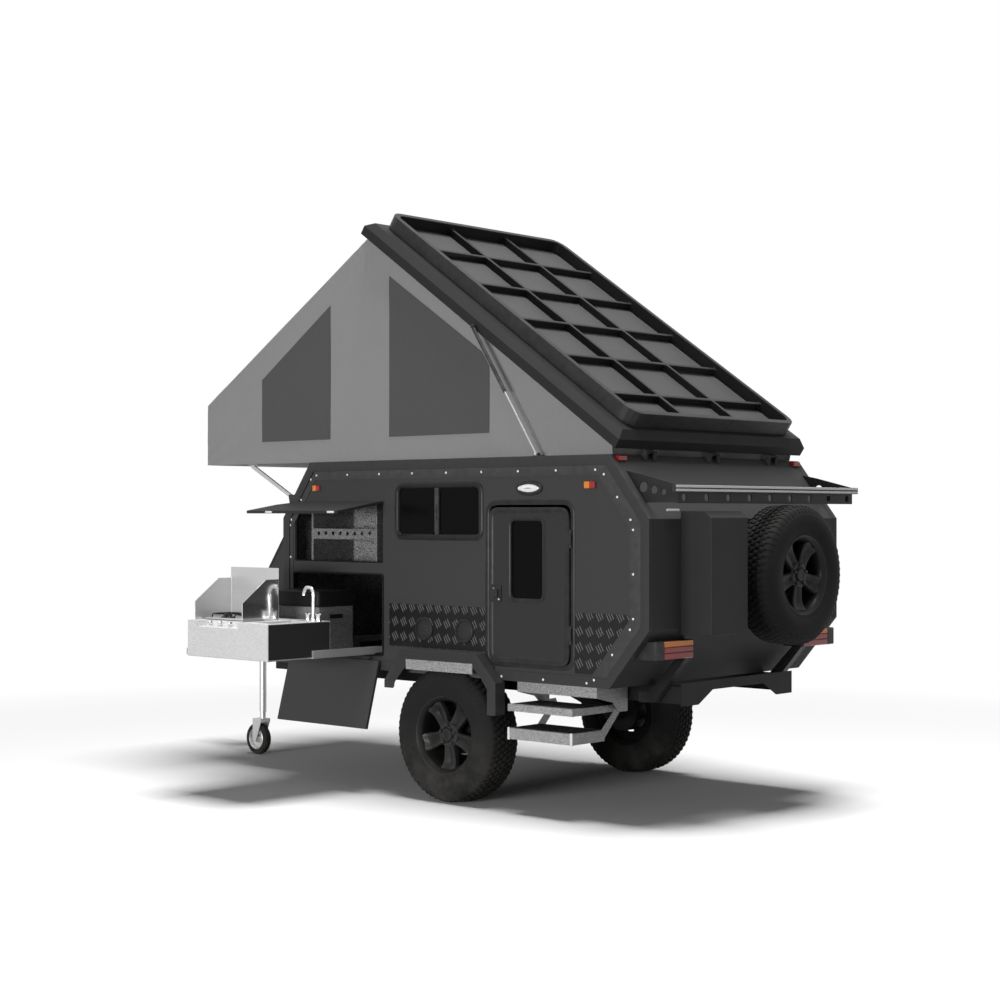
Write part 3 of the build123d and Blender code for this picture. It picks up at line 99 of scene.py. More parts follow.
def rounded_loop(corners, radius, steps=4):
    """A closed outline whose corners are eased: near corner C it runs along (1-t)^2 A + 2t(1-t) C + t^2 B, with A and
    B on C's two edges, as far from C as the radius."""
    c = np.asarray(corners, float)
    back, ahead = np.roll(c, 1, axis=0) - c, np.roll(c, -1, axis=0) - c
    lengths = np.linalg.norm(back, axis=1, keepdims=True), np.linalg.norm(ahead, axis=1, keepdims=True)
    reach = np.minimum(np.broadcast_to(np.reshape(radius, (-1, 1)), lengths[0].shape), 0.49 * np.minimum(*lengths))
    a, b = c + back / lengths[0] * reach, c + ahead / lengths[1] * reach
    t = np.linspace(0, 1, steps + 1)[None, :, None]
    return ((1 - t) ** 2 * a[:, None] + 2 * t * (1 - t) * c[:, None] + t ** 2 * b[:, None]).reshape(-1, 2)


def corners(x0, x1, z0, z1):
    """The four corners of a rectangle."""
    return np.array(((x0, z0), (x1, z0), (x1, z1), (x0, z1)), float)


def circle(radius, sides):
    """Points of a circle."""
    turn = np.linspace(0, 2 * np.pi, sides, endpoint=False)
    return np.stack((radius * np.cos(turn), radius * np.sin(turn)), axis=-1)


def outward(loop):
    """For each point of a closed outline, how far it moves when every edge moves out by one."""
    edge = np.roll(loop, -1, axis=0) - loop
    edge /= np.maximum(np.linalg.norm(edge, axis=1, keepdims=True), 1e-9)
    area = np.sum(loop[:, 0] * np.roll(loop[:, 1], -1) - loop[:, 1] * np.roll(loop[:, 0], -1))
    normal = np.stack((edge[:, 1], -edge[:, 0]), axis=-1) * np.sign(area)
    before = np.roll(normal, 1, axis=0)
    return (normal + before) / np.maximum(1 + np.sum(normal * before, axis=1, keepdims=True), 0.2)


def laid(flat, height, plane):
    """Puts points (a, b), with a height off their plane, into X, Y and Z."""
    a, b, h = np.broadcast_arrays(flat[..., 0], flat[..., 1], height)
    order = {"xz": (a, h, b), "xy": (a, b, h), "yz": (h, a, b)}[plane]
    return np.stack(order, axis=-1).astype(float)


def moulding(loop, section, plane, solid=False):
    """Carries a section round a closed outline: P(u, v) is the outline at u, moved out by out(v), at height(v).
    A solid moulding is closed across its first and last line; otherwise the section closes on itself."""
    loop = np.asarray(loop, float)
    section = np.asarray(section, float)
    flat = loop[:, None] + outward(loop)[:, None] * section[None, :, :1]
    return grid(laid(flat, section[None, :, 1], plane), wrap_u=True, wrap_v=not solid, cap_v=solid)


def plate(loop, low, high, plane, ease=1.5):
    """A plate with that outline, from one height to another, its edges eased by a small chamfer."""
    low, high = min(low, high), max(low, high)
    ease = min(ease, 0.45 * (high - low))
    return moulding(loop, ((-ease, low), (0, low + ease), (0, high - ease), (-ease, high)), plane, solid=True)


def box(x0, x1, y0, y1, z0, z1, ease=1.5, round_by=None):
    """A block with eased edges."""
    radius = ease if round_by is None else round_by
    x0, x1, y0, y1 = min(x0, x1), max(x0, x1), min(y0, y1), max(y0, y1)
    return plate(rounded_loop(corners(x0, x1, y0, y1), radius, 1 if round_by is None else 4), z0, z1, "xy", ease)


def swept(path, section, up=(0, 0, 1), wrap=False):
    """Carries a closed section along a path: P(u, v) = path(u) + across(u) a(v) + over(u) b(v), where across and over
    stand square to the path."""
    path = np.asarray(path, float)
    along = np.roll(path, -1, axis=0) - np.roll(path, 1, axis=0) if wrap else np.gradient(path, axis=0)
    along /= np.linalg.norm(along, axis=1, keepdims=True)
    across = np.cross(np.broadcast_to(np.asarray(up, float), along.shape), along)
    across /= np.linalg.norm(across, axis=1, keepdims=True)
    over = np.cross(along, across)
    section = np.asarray(section, float)
    points = path[:, None] + across[:, None] * section[None, :, :1] + over[:, None] * section[None, :, 1:]
    return grid(points, wrap_u=wrap, wrap_v=True, cap_u=not wrap)


def bar(start, end, radius, sides=16):
    """A straight round bar with eased ends: P(u, v) goes round at v and along at u."""
    start, end = np.asarray(start, float), np.asarray(end, float)
    length = np.linalg.norm(end - start)
    ease = min(1.0, radius * 0.3, length * 0.2)
    return turned(((0, radius - ease), (ease, radius), (length - ease, radius), (length, radius - ease)), start,
                  end - start, sides)


def turned(profile, centre, axis, sides=48, ring=False):
    """A turned form: P(u, v) = centre + a(v) axis + r(v) (cos u across + sin u over), from (a, r) steps."""
    axis = np.asarray(axis, float)
    axis = axis / np.linalg.norm(axis)
    seed = np.array((0.0, 0.0, 1.0)) if abs(axis[2]) < 0.9 else np.array((1.0, 0.0, 0.0))
    across = np.cross(seed, axis)
    across /= np.linalg.norm(across)
    over = np.cross(axis, across)
    profile = np.asarray(profile, float)
    turn = np.linspace(0, 2 * np.pi, sides, endpoint=False)[:, None, None]
    points = (np.asarray(centre, float) + profile[None, :, :1] * axis
              + profile[None, :, 1:] * (np.cos(turn) * across + np.sin(turn) * over))
    return grid(points, wrap_u=True, wrap_v=ring, cap_v=not ring)


def curve(points, steps=24):
    """A smooth path through points: a Catmull-Rom curve between each pair of neighbours."""
    p = np.asarray(points, float)
    p = np.concatenate((2 * p[:1] - p[1:2], p, 2 * p[-1:] - p[-2:-1]))
    t = np.linspace(0, 1, steps, endpoint=False)[None, :, None]
    a, b, c, d = p[:-3, None], p[1:-2, None], p[2:-1, None], p[3:, None]
    runs = 0.5 * (2 * b + (c - a) * t + (2 * a - 5 * b + 4 * c - d) * t ** 2 + (3 * b - a - 3 * c + d) * t ** 3)
    return np.concatenate((runs.reshape(-1, p.shape[1]), p[-2:-1]))


def moved(part, matrix=np.eye(3), by=(0, 0, 0)):
    """A part turned by a matrix and moved."""
    points, faces = part
    return points @ np.asarray(matrix, float).T + np.asarray(by, float), faces


def mirrored(part):
    """The same part on the other side of the trailer."""
    points, faces = part
    return points * np.array((1, -1, 1)), [face[:, ::-1] for face in faces]


def both_sides(parts):
    """Parts of the left side, and the same ones on the right."""
    return parts + [mirrored(part) for part in parts]


def repeated(part, places):
    """One part repeated at many places, as one part: every copy is the same points moved."""
    points, faces = part
    places = np.asarray(places, float)
    shift = (np.arange(len(places)) * len(points))[:, None, None]
    return ((points[None] + places[:, None]).reshape(-1, 3),
            [(face[None] + shift).reshape(-1, face.shape[1]) for face in faces])


def on_lid(part):
    """Takes a part from the lid's own frame, X along the lid and Z out of it, to its place on the open lid."""
    c, s = math.cos(LID_TILT), math.sin(LID_TILT)
    return moved(part, ((c, 0, -s), (0, 1, 0), (s, 0, c)), LID_ORIGIN)


def make_piece(name, parts, material, body, smooth=35.0, closed=True, stands_for=()):
    """Joins parts into one named piece that rides on a body, in metres from the tow ball."""
    starts = np.cumsum([0] + [len(points) for points, _ in parts])
    points = np.concatenate([points for points, _ in parts])
    faces = [face + start for (_, several), start in zip(parts, starts) for face in several]
    loops = np.concatenate([face.ravel() for face in faces]).astype(np.int32)
    sizes = np.concatenate([np.full(len(face), face.shape[1]) for face in faces])
    mesh = bpy.data.meshes.new(name)
    mesh.vertices.add(len(points))
    mesh.vertices.foreach_set("co", ((points - BALL) / 1000).ravel())
    mesh.loops.add(len(loops))
    mesh.loops.foreach_set("vertex_index", loops)
    mesh.polygons.add(len(sizes))
    mesh.polygons.foreach_set("loop_start", (np.cumsum(sizes) - sizes).astype(np.int32))
    mesh.update(calc_edges=True)
    if mesh.validate():
        raise RuntimeError(f"{name}: its faces don't make a clean surface")
    if closed:
        work = bmesh.new()
        work.from_mesh(mesh)
        bmesh.ops.recalc_face_normals(work, faces=work.faces[:])
        work.to_mesh(mesh)
        work.free()
    mesh.polygons.foreach_set("use_smooth", np.ones(len(mesh.polygons), bool))
    mesh.set_sharp_from_angle(angle=math.radians(smooth))
    mesh.materials.append(material)
    piece = bpy.data.objects.new(name, mesh)
    bpy.context.scene.collection.objects.link(piece)
    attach(piece, body)
    if stands_for:
        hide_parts(*stands_for)
    return piece


def add_bevel(piece, width):
    """Rounds a piece's sharp edges by a width in millimetres."""
    bevel = piece.modifiers.new("eased edges", "BEVEL")
    bevel.width = width / 1000
    bevel.segments = 2
    bevel.limit_method = "ANGLE"
    bevel.angle_limit = math.radians(32)
    bevel.harden_normals = False


def dress_node(name, material, bevel=1.5):
    """Gives a CAD node its finish and, where it is folded sheet, slightly rounded edges."""
    node = NODES[name]
    node.data.materials.clear()
    node.data.materials.append(material)
    if bevel:
        weld = node.modifiers.new("joined corners", "WELD")
        weld.merge_threshold = 0.00002
        add_bevel(node, bevel)


def dress_nodes(*rows):
    """Dresses several CAD nodes, from rows of node, finish and bevel."""
    for name, finish_name, bevel in rows:
        dress_node(name, FINISH[finish_name], bevel)


# ---- Finishes

def put(tree, kind, inputs=None, **settings):
    """Adds a node, sets its settings, and fills or links its inputs, which are given by name or number."""
    made = tree.nodes.new(kind)
    for key, value in settings.items():
        setattr(made, key, value)
    for key, value in (inputs or {}).items():
        if isinstance(value, bpy.types.NodeSocket):
            tree.links.new(value, made.inputs[key])
        else:
            made.inputs[key].default_value = value
    return made


def maths(tree, operation, *values):
    """One step of arithmetic on single values."""
    return put(tree, "ShaderNodeMath", dict(enumerate(values)), operation=operation).outputs[0]


def length_of(tree, a, b):
    """Square root of a^2 + b^2."""
    return maths(tree, "SQRT", maths(tree, "ADD", maths(tree, "MULTIPLY", a, a), maths(tree, "MULTIPLY", b, b)))


def blended(tree, amount, first, second):
    """Mixes two colours by an amount."""
    mix = put(tree, "ShaderNodeMix", {"Factor": amount}, data_type="RGBA")
    for socket, value in ((mix.inputs[6], first), (mix.inputs[7], second)):
        if isinstance(value, bpy.types.NodeSocket):
            tree.links.new(value, socket)
        else:
            socket.default_value = value
    return mix.outputs[2]


def new_group(name, inputs, outputs):
    """An empty shader node group with its named inputs (name, kind, default) and outputs (name, kind)."""
    tree = bpy.data.node_groups.new(name, "ShaderNodeTree")
    kinds = {"value": "NodeSocketFloat", "colour": "NodeSocketColor", "vector": "NodeSocketVector"}
    for label, kind, default in inputs:
        tree.interface.new_socket(label, in_out="INPUT", socket_type=kinds[kind]).default_value = default
    for label, kind in outputs:
        tree.interface.new_socket(label, in_out="OUTPUT", socket_type=kinds[kind])
    return tree, tree.nodes.new("NodeGroupInput").outputs, tree.nodes.new("NodeGroupOutput").inputs


def object_place(tree):
    """Coordinates of the object itself, in metres."""
    return put(tree, "ShaderNodeTexCoord").outputs["Object"]


def stretched(tree, place, scale):
    """Coordinates scaled along each axis."""
    return put(tree, "ShaderNodeMapping", {"Vector": place, "Scale": scale}).outputs[0]


def build_grain():
    """Fine surface grain, with broad faint blotches that vary the gloss and colour."""
    tree, given, out = new_group("Surface grain", (("Grains per Metre", "value", 500.0),
                                                   ("Blotches per Metre", "value", 3.0)),
                                 (("Height", "value"), ("Blotch", "value")))
    place = object_place(tree)
    fine = put(tree, "ShaderNodeTexNoise", {"Vector": place, "Scale": given[0], "Detail": 2.0, "Roughness": 0.6})
    broad = put(tree, "ShaderNodeTexNoise", {"Vector": place, "Scale": given[1], "Detail": 4.0, "Roughness": 0.55})
    tree.links.new(fine.outputs[0], out[0])
    tree.links.new(broad.outputs[0], out[1])
    return tree


def build_dust():
    """Road dust: thicker low down and on faces that look up, broken by noise."""
    tree, given, out = new_group(
        "Road dust",
        (("Colour", "colour", (0.1, 0.1, 0.1, 1)), ("Dust Colour", "colour", (0.2, 0.19, 0.17, 1)),
         ("Amount", "value", 0.3), ("Reach", "value", 0.5)),
        (("Colour", "colour"), ("Mask", "value")))
    place = object_place(tree)
    height = put(tree, "ShaderNodeSeparateXYZ", {0: place}).outputs[2]
    low = maths(tree, "DIVIDE", maths(tree, "SUBTRACT", maths(tree, "ADD", given[3], -0.69), height), given[3])
    low = put(tree, "ShaderNodeClamp", {"Value": low}).outputs[0]
    facing = put(tree, "ShaderNodeSeparateXYZ", {0: put(tree, "ShaderNodeNewGeometry").outputs["Normal"]}).outputs[2]
    facing = maths(tree, "MULTIPLY", put(tree, "ShaderNodeClamp", {"Value": facing}).outputs[0], 0.35)
    noise = put(tree, "ShaderNodeTexNoise", {"Vector": place, "Scale": 7.0, "Detail": 6.0,
                                             "Roughness": 0.65}).outputs[0]
    broken = put(tree, "ShaderNodeMapRange", {"Value": noise, "From Min": 0.35, "From Max": 0.7}).outputs[0]
    mask = maths(tree, "MULTIPLY", maths(tree, "MULTIPLY", maths(tree, "ADD", low, facing), broken), given[2])
    mask = put(tree, "ShaderNodeClamp", {"Value": mask}).outputs[0]
    tree.links.new(blended(tree, mask, given[0], given[1]), out[0])
    tree.links.new(mask, out[1])
    return tree


def build_edge_wear():
    """Paint rubbed thin along outer edges, broken by noise."""
    tree, given, out = new_group(
        "Edge wear",
        (("Colour", "colour", (0.1, 0.1, 0.1, 1)), ("Worn Colour", "colour", (0.4, 0.4, 0.4, 1)),
         ("Amount", "value", 0.3)), (("Colour", "colour"), ("Mask", "value")))
    sharp = put(tree, "ShaderNodeNewGeometry").outputs["Pointiness"]
    edge = put(tree, "ShaderNodeMapRange", {"Value": sharp, "From Min": 0.52, "From Max": 0.62}).outputs[0]
    noise = put(tree, "ShaderNodeTexNoise", {"Vector": object_place(tree), "Scale": 22.0, "Detail": 5.0}).outputs[0]
    mask = maths(tree, "MULTIPLY", maths(tree, "MULTIPLY", edge, noise), given[2])
    tree.links.new(blended(tree, mask, given[0], given[1]), out[0])
    tree.links.new(mask, out[1])
    return tree


def build_weave():
    """Plain woven cloth: two crossing sets of threads, with a slow unevenness in their shade."""
    tree, given, out = new_group("Cloth weave", (("Threads per Metre", "value", 900.0),),
                                 (("Height", "value"), ("Shade", "value")))
    place = object_place(tree)
    split = put(tree, "ShaderNodeSeparateXYZ", {0: place}).outputs
    turns = maths(tree, "MULTIPLY", given[0], 6.283)
    across = maths(tree, "SINE", maths(tree, "MULTIPLY", maths(tree, "ADD", split[0], split[1]), turns))
    down = maths(tree, "SINE", maths(tree, "MULTIPLY", split[2], turns))
    tree.links.new(maths(tree, "MULTIPLY", across, down), out[0])
    slub = put(tree, "ShaderNodeTexNoise", {"Vector": stretched(tree, place, (60.0, 60.0, 6.0)), "Scale": 3.0,
                                            "Detail": 3.0})
    tree.links.new(slub.outputs[0], out[1])
    return tree


def build_tread_plate():
    """Tread plate: each cell holds three raised bars, side by side, that all lean the same way."""
    tree, given, out = new_group("Tread plate bars", (("Pitch", "value", 0.072), ("Bar Length", "value", 0.05)),
                                 (("Height", "value"), ("Mask", "value")))
    split = put(tree, "ShaderNodeSeparateXYZ", {0: object_place(tree)}).outputs
    a = maths(tree, "DIVIDE", split[0], given[0])
    tall = maths(tree, "MULTIPLY", given[0], 1.22)
    b = maths(tree, "DIVIDE", maths(tree, "ADD", split[2], split[1]), tall)
    u = maths(tree, "MULTIPLY", maths(tree, "SUBTRACT", maths(tree, "FRACT", a), 0.5), given[0])
    v = maths(tree, "MULTIPLY", maths(tree, "SUBTRACT", maths(tree, "FRACT", b), 0.5), tall)
    along = maths(tree, "ADD", maths(tree, "MULTIPLY", u, 0.5), maths(tree, "MULTIPLY", v, 0.866))
    over = maths(tree, "ADD", maths(tree, "MULTIPLY", u, 0.866), maths(tree, "MULTIPLY", v, -0.5))
    gap = maths(tree, "MULTIPLY", given[0], 0.23)
    nearest = maths(tree, "ROUND", maths(tree, "DIVIDE", over, gap))
    nearest = put(tree, "ShaderNodeClamp", {"Value": nearest, "Min": -1.0, "Max": 1.0}).outputs[0]
    near = maths(tree, "SUBTRACT", over, maths(tree, "MULTIPLY", gap, nearest))
    past_end = maths(tree, "SUBTRACT", maths(tree, "ABSOLUTE", along), maths(tree, "MULTIPLY", given[1], 0.42))
    past_end = maths(tree, "MAXIMUM", past_end, 0.0)
    distance = length_of(tree, near, past_end)
    dome = put(tree, "ShaderNodeMapRange", {"Value": distance, "From Min": 0.0056, "From Max": 0.0022},
               interpolation_type="SMOOTHSTEP")
    # The bars' bodies, given out as the mask, which the finish paints lighter as a painted highlight.
    bar_highlight = put(tree, "ShaderNodeMapRange", {"Value": distance, "From Min": 0.0046, "From Max": 0.0028})
    tree.links.new(dome.outputs[0], out[0])
    tree.links.new(bar_highlight.outputs[0], out[1])
    return tree


def build_speckle():
    """Fine two-tone speckle, as on galvanised sheet and hammered paint."""
    tree, given, out = new_group(
        "Fine speckle",
        (("Light Colour", "colour", (0.6, 0.6, 0.6, 1)), ("Dark Colour", "colour", (0.3, 0.3, 0.3, 1)),
         ("Grains per Metre", "value", 260.0), ("Share", "value", 0.5)),
        (("Colour", "colour"), ("Height", "value")))
    place = object_place(tree)
    cells = put(tree, "ShaderNodeTexVoronoi", {"Vector": place, "Scale": given[2],
                                               "Randomness": 1.0}).outputs["Color"]
    grey = put(tree, "ShaderNodeSeparateColor", {0: cells}).outputs[0]
    noise = put(tree, "ShaderNodeTexNoise", {"Vector": place, "Scale": given[2], "Detail": 3.0,
                                             "Roughness": 0.7}).outputs[0]
    value = maths(tree, "ADD", maths(tree, "MULTIPLY", grey, 0.5), maths(tree, "MULTIPLY", noise, 0.5))
    amount = put(tree, "ShaderNodeMapRange", {"Value": value, "From Min": maths(tree, "SUBTRACT", given[3], 0.16),
                                              "From Max": maths(tree, "ADD", given[3], 0.16)}).outputs[0]
    tree.links.new(blended(tree, amount, given[1], given[0]), out[0])
    tree.links.new(value, out[1])
    return tree


def build_brushing():
    """Fine lines brushed along X, which streak the gloss."""
    tree, given, out = new_group("Brushed lines", (("Lines per Metre", "value", 900.0),),
                                 (("Height", "value"), ("Streak", "value")))
    lines = stretched(tree, object_place(tree), (0.02, 1.0, 1.0))
    fine = put(tree, "ShaderNodeTexNoise", {"Vector": lines, "Scale": given[0], "Detail": 3.0}).outputs[0]
    tree.links.new(fine, out[0])
    tree.links.new(put(tree, "ShaderNodeTexNoise", {"Vector": lines, "Scale": 40.0, "Detail": 2.0}).outputs[0],
                   out[1])
    return tree


def build_pinholes():
    """Close rows of small round holes, as in a perforated sheet or a vent's mesh."""
    tree, given, out = new_group("Pinholes", (("Pitch", "value", 0.011), ("Hole", "value", 0.34)),
                                 (("Height", "value"), ("Mask", "value")))
    split = put(tree, "ShaderNodeSeparateXYZ", {0: object_place(tree)}).outputs
    a, b = maths(tree, "DIVIDE", split[0], given[0]), maths(tree, "DIVIDE", split[2], given[0])
    odd_row = maths(tree, "FLOORED_MODULO", maths(tree, "FLOOR", b), 2.0)
    a = maths(tree, "ADD", a, maths(tree, "MULTIPLY", odd_row, 0.5))
    u = maths(tree, "SUBTRACT", maths(tree, "FRACT", a), 0.5)
    v = maths(tree, "SUBTRACT", maths(tree, "FRACT", b), 0.5)
    inner = maths(tree, "SUBTRACT", given[1], 0.06)
    hole = put(tree, "ShaderNodeMapRange", {"Value": length_of(tree, u, v), "From Min": inner,
                                            "From Max": given[1]}).outputs[0]
    tree.links.new(hole, out[0])
    # The mask marks the holes, which the finish paints near black as painted shade.
    tree.links.new(maths(tree, "SUBTRACT", 1.0, hole), out[1])
    return tree


GROUPS = {}


def group(tree, name, **inputs):
    """Places one of the shared effects in a material, with its own values."""
    made = tree.nodes.new("ShaderNodeGroup")
    made.node_tree = GROUPS[name]
    for key, value in inputs.items():
        socket = made.inputs[key.replace("_", " ").title().replace("Per", "per")]
        if isinstance(value, bpy.types.NodeSocket):
            tree.links.new(value, socket)
        else:
            socket.default_value = value
    return made.outputs


WORN_METAL = (*shade(150), 1.0)
ROAD_DUST = (*shade(104, 101, 96), 1.0)
# Painted shade: the near-black colour of the holes in a perforated finish, for the shade seen through them.
HOLE_PAINTED_SHADE = (0.002, 0.002, 0.002, 1.0)


def toned(colour, factor, lift=0.0):
    """A colour with each of its parts multiplied and raised, and its alpha."""
    return (*(min(1.0, part * factor + lift) for part in colour[:3]), 1.0)


def finish(name, colour, rough, metal=0.0, grain=500.0, depth=0.0001, vary=0.12, dust=0.0, wear=0.0,
           coat=0.0, sheen=0.0, specular=0.15, speckle=None, pattern=None, glow=0.0):
    """Makes one finish: its colour, its gloss, and the shared effects with this finish's own values."""
    material = bpy.data.materials.new(name)
    material.use_nodes = True
    tree = material.node_tree
    tree.nodes.clear()
    surface = put(tree, "ShaderNodeBsdfPrincipled", {
        "Metallic": metal, "Coat Weight": coat, "Coat Roughness": 0.15, "Sheen Weight": sheen,
        "Specular IOR Level": specular, "Roughness": rough})
    tree.links.new(surface.outputs[0], put(tree, "ShaderNodeOutputMaterial").inputs[0])
    colour = (*colour, 1.0)
    grain_out = group(tree, "grain", grains_per_metre=grain)
    height = grain_out["Height"]
    tone = blended(tree, maths(tree, "MULTIPLY", grain_out["Blotch"], vary), colour, toned(colour, 1.5, 0.003))
    if speckle:
        dark, size, share = speckle
        spots = group(tree, "speckle", light_colour=tone, dark_colour=(*dark, 1.0), grains_per_metre=size,
                      share=share)
        tone, height = spots["Colour"], spots["Height"]
    if pattern == "bars":
        bars = group(tree, "tread plate")
        # Painted highlight: the bars are painted much lighter than the plate.
        tone = blended(tree, bars["Mask"], tone, toned(colour, 3.0, 0.1))
        height = maths(tree, "ADD", bars["Height"], maths(tree, "MULTIPLY", height, 0.05))
    if pattern == "weave":
        cloth = group(tree, "weave")
        tone = blended(tree, maths(tree, "MULTIPLY", cloth["Shade"], vary * 2), tone, toned(colour, 0.72))
        height = cloth["Height"]
    if pattern == "brushed":
        lines = group(tree, "brushing")
        height = lines["Height"]
        tone = blended(tree, maths(tree, "MULTIPLY", lines["Streak"], vary * 2), tone, toned(colour, 0.7))
    if pattern == "pinholes":
        holes = group(tree, "pinholes")
        height = holes["Height"]
        # Painted shade: the holes are painted near black.
        tone = blended(tree, holes["Mask"], tone, HOLE_PAINTED_SHADE)
    if wear:
        tone = group(tree, "edge wear", colour=tone, worn_colour=WORN_METAL, amount=wear)["Colour"]
    uneven = maths(tree, "MULTIPLY_ADD", grain_out["Blotch"], 0.25, rough - 0.12)
    if dust:
        dusty = group(tree, "dust", colour=tone, dust_colour=ROAD_DUST, amount=dust)
        tone = dusty["Colour"]
        uneven = maths(tree, "ADD", uneven, maths(tree, "MULTIPLY", dusty["Mask"], 0.5))
    tree.links.new(tone, surface.inputs["Base Color"])
    tree.links.new(put(tree, "ShaderNodeClamp", {"Value": uneven, "Min": 0.03, "Max": 1.0}).outputs[0],
                   surface.inputs["Roughness"])
    if depth:
        bump = put(tree, "ShaderNodeBump", {"Height": height, "Distance": depth, "Strength": 1.0})
        tree.links.new(bump.outputs[0], surface.inputs["Normal"])
    if glow:
        tree.links.new(tone, surface.inputs["Emission Color"])
        surface.inputs["Emission Strength"].default_value = glow
    return material


FINISH = {}


def make_finishes(colours):
    """Builds the shared effects and every finish of the trailer."""
    for key, maker in (("grain", build_grain), ("dust", build_dust), ("edge wear", build_edge_wear),
                       ("weave", build_weave),
                       ("tread plate", build_tread_plate), ("speckle", build_speckle), ("brushing", build_brushing),
                       ("pinholes", build_pinholes)):
        GROUPS[key] = maker()
    table = {
        "wall": dict(colour=tuple(colours.wall), rough=0.6, grain=700, depth=0.00012, dust=0.04, specular=0.12),
        "trim": dict(colour=tuple(colours.trim), rough=0.48, grain=500, depth=0.00008, dust=0.05, wear=0.2,
                     specular=0.12),
        "door": dict(colour=tuple(colours.door), rough=0.5, grain=900, depth=0.00012, dust=0.03, specular=0.12),
        "frame black": dict(colour=shade(18), rough=0.38, grain=800, depth=0.00005, wear=0.3),
        "rubber": dict(colour=shade(16), rough=0.75, grain=900, depth=0.00008),
        "dark glass": dict(colour=shade(10), rough=0.2, grain=3, depth=0.0, specular=0.04, vary=0.05),
        "tread plate": dict(colour=shade(24), rough=0.42, depth=0.004, pattern="bars", specular=0.15),
        # Also used as painted shade on the kitchen unit's end faces and, in part, on the rear box.
        "plain plate": dict(colour=shade(44), rough=0.5, grain=600, depth=0.00008, dust=0.03, specular=0.12),
        "galvanised": dict(colour=shade(176), rough=0.5, metal=0.35, depth=0.0002, speckle=(shade(96), 420.0, 0.48),
                           dust=0.2),
        "bright steel": dict(colour=shade(196), rough=0.34, metal=0.75, depth=0.00004, pattern="brushed", grain=600),
        "kitchen face": dict(colour=shade(226), rough=0.55, metal=0.15, depth=0.00015,
                             speckle=(shade(176), 520.0, 0.42)),
        # Its pale colour is partly painted light, raised so the shelf inside the bay looks lit.
        "speckled side": dict(colour=shade(150), rough=0.5, metal=0.3, depth=0.00015,
                              speckle=(shade(36), 480.0, 0.5)),
        "chrome": dict(colour=shade(222), rough=0.1, metal=1.0, depth=0.0, grain=20),
        "aluminium": dict(colour=shade(188), rough=0.4, metal=0.6, depth=0.00006, pattern="brushed"),
        # Its near-white colour is partly painted light, raised for the tray rail, whose face looks rearward into
        # shade.
        "light alloy": dict(colour=shade(225), rough=0.42, metal=0.1, depth=0.00006, grain=600),
        "lid paint": dict(colour=shade(36), rough=0.6, grain=700, depth=0.0001, dust=0.04, specular=0.12),
        "lid deck": dict(colour=shade(70), rough=0.6, grain=420, depth=0.0003, dust=0.3),
        "rack black": dict(colour=shade(30), rough=0.45, grain=600, depth=0.0001, wear=0.3, dust=0.2),
        "canvas": dict(colour=tuple(colours.canvas), rough=0.9, pattern="weave", depth=0.0004, sheen=0.15, vary=0.2),
        "canvas window": dict(colour=tuple(colours.canvas_window), rough=0.85, pattern="weave", depth=0.0003,
                              vary=0.2),
        "tyre": dict(colour=shade(30), rough=0.75, grain=900, depth=0.00012, dust=0.45, specular=0.12),
        "rim": dict(colour=shade(20), rough=0.42, grain=400, depth=0.00003, coat=0.04, wear=0.3, dust=0.25),
        "chassis black": dict(colour=shade(20), rough=0.5, grain=500, depth=0.0001, dust=0.5),
        # The lining's pale colour is partly painted light: raised above its own to stand in for bounce light inside
        # the deep bays.
        "lining": dict(colour=shade(165), rough=0.85, depth=0.0004, speckle=(shade(34), 330.0, 0.5)),
        "drop door": dict(colour=shade(62), rough=0.5, grain=700, depth=0.0001, specular=0.12),
        "fridge body": dict(colour=shade(150), rough=0.55, depth=0.0003, speckle=(shade(70), 420.0, 0.5)),
        "fridge lid": dict(colour=shade(20), rough=0.45, grain=800, depth=0.0001),
        "platform": dict(colour=shade(150, 146, 140), rough=0.6, grain=120, depth=0.0001, vary=0.3),
        "grip": dict(colour=shade(26), rough=0.9, grain=1200, depth=0.0006),
        "red lens": dict(colour=shade(150, 22, 26), rough=0.18, grain=250, depth=0.0002, coat=0.6, glow=0.05),
        "amber lens": dict(colour=shade(214, 120, 24), rough=0.18, grain=250, depth=0.0002, coat=0.6, glow=0.08),
        "white lens": dict(colour=shade(225), rough=0.25, grain=250, depth=0.0002, coat=0.5, glow=0.1),
    }
    for name, values in table.items():
        FINISH[name] = finish(name, **values)


# ---- Wheels

def wheel_frame(which):
    """How a wheel stands: its centre, and the directions across, up and outward."""
    places = {
        "left": ((0, WHEEL_Y, TYRE_R), (-1, 0, 0), (0, 0, 1), (0, 1, 0)),
        "right": ((0, -WHEEL_Y, TYRE_R), (1, 0, 0), (0, 0, 1), (0, -1, 0)),
        "spare": (SPARE, (0, -1, 0), (0, 0, 1), (-1, 0, 0)),
        "jockey": ((2486, 264, 110), (-1, 0, 0), (0, 0, 1), (0, 1, 0)),
    }
    centre, across, up, out = places[which]
    return np.array((across, up, out), float).T, np.array(centre, float)


BLOCKS_ROUND = 64
SPOKES = 5


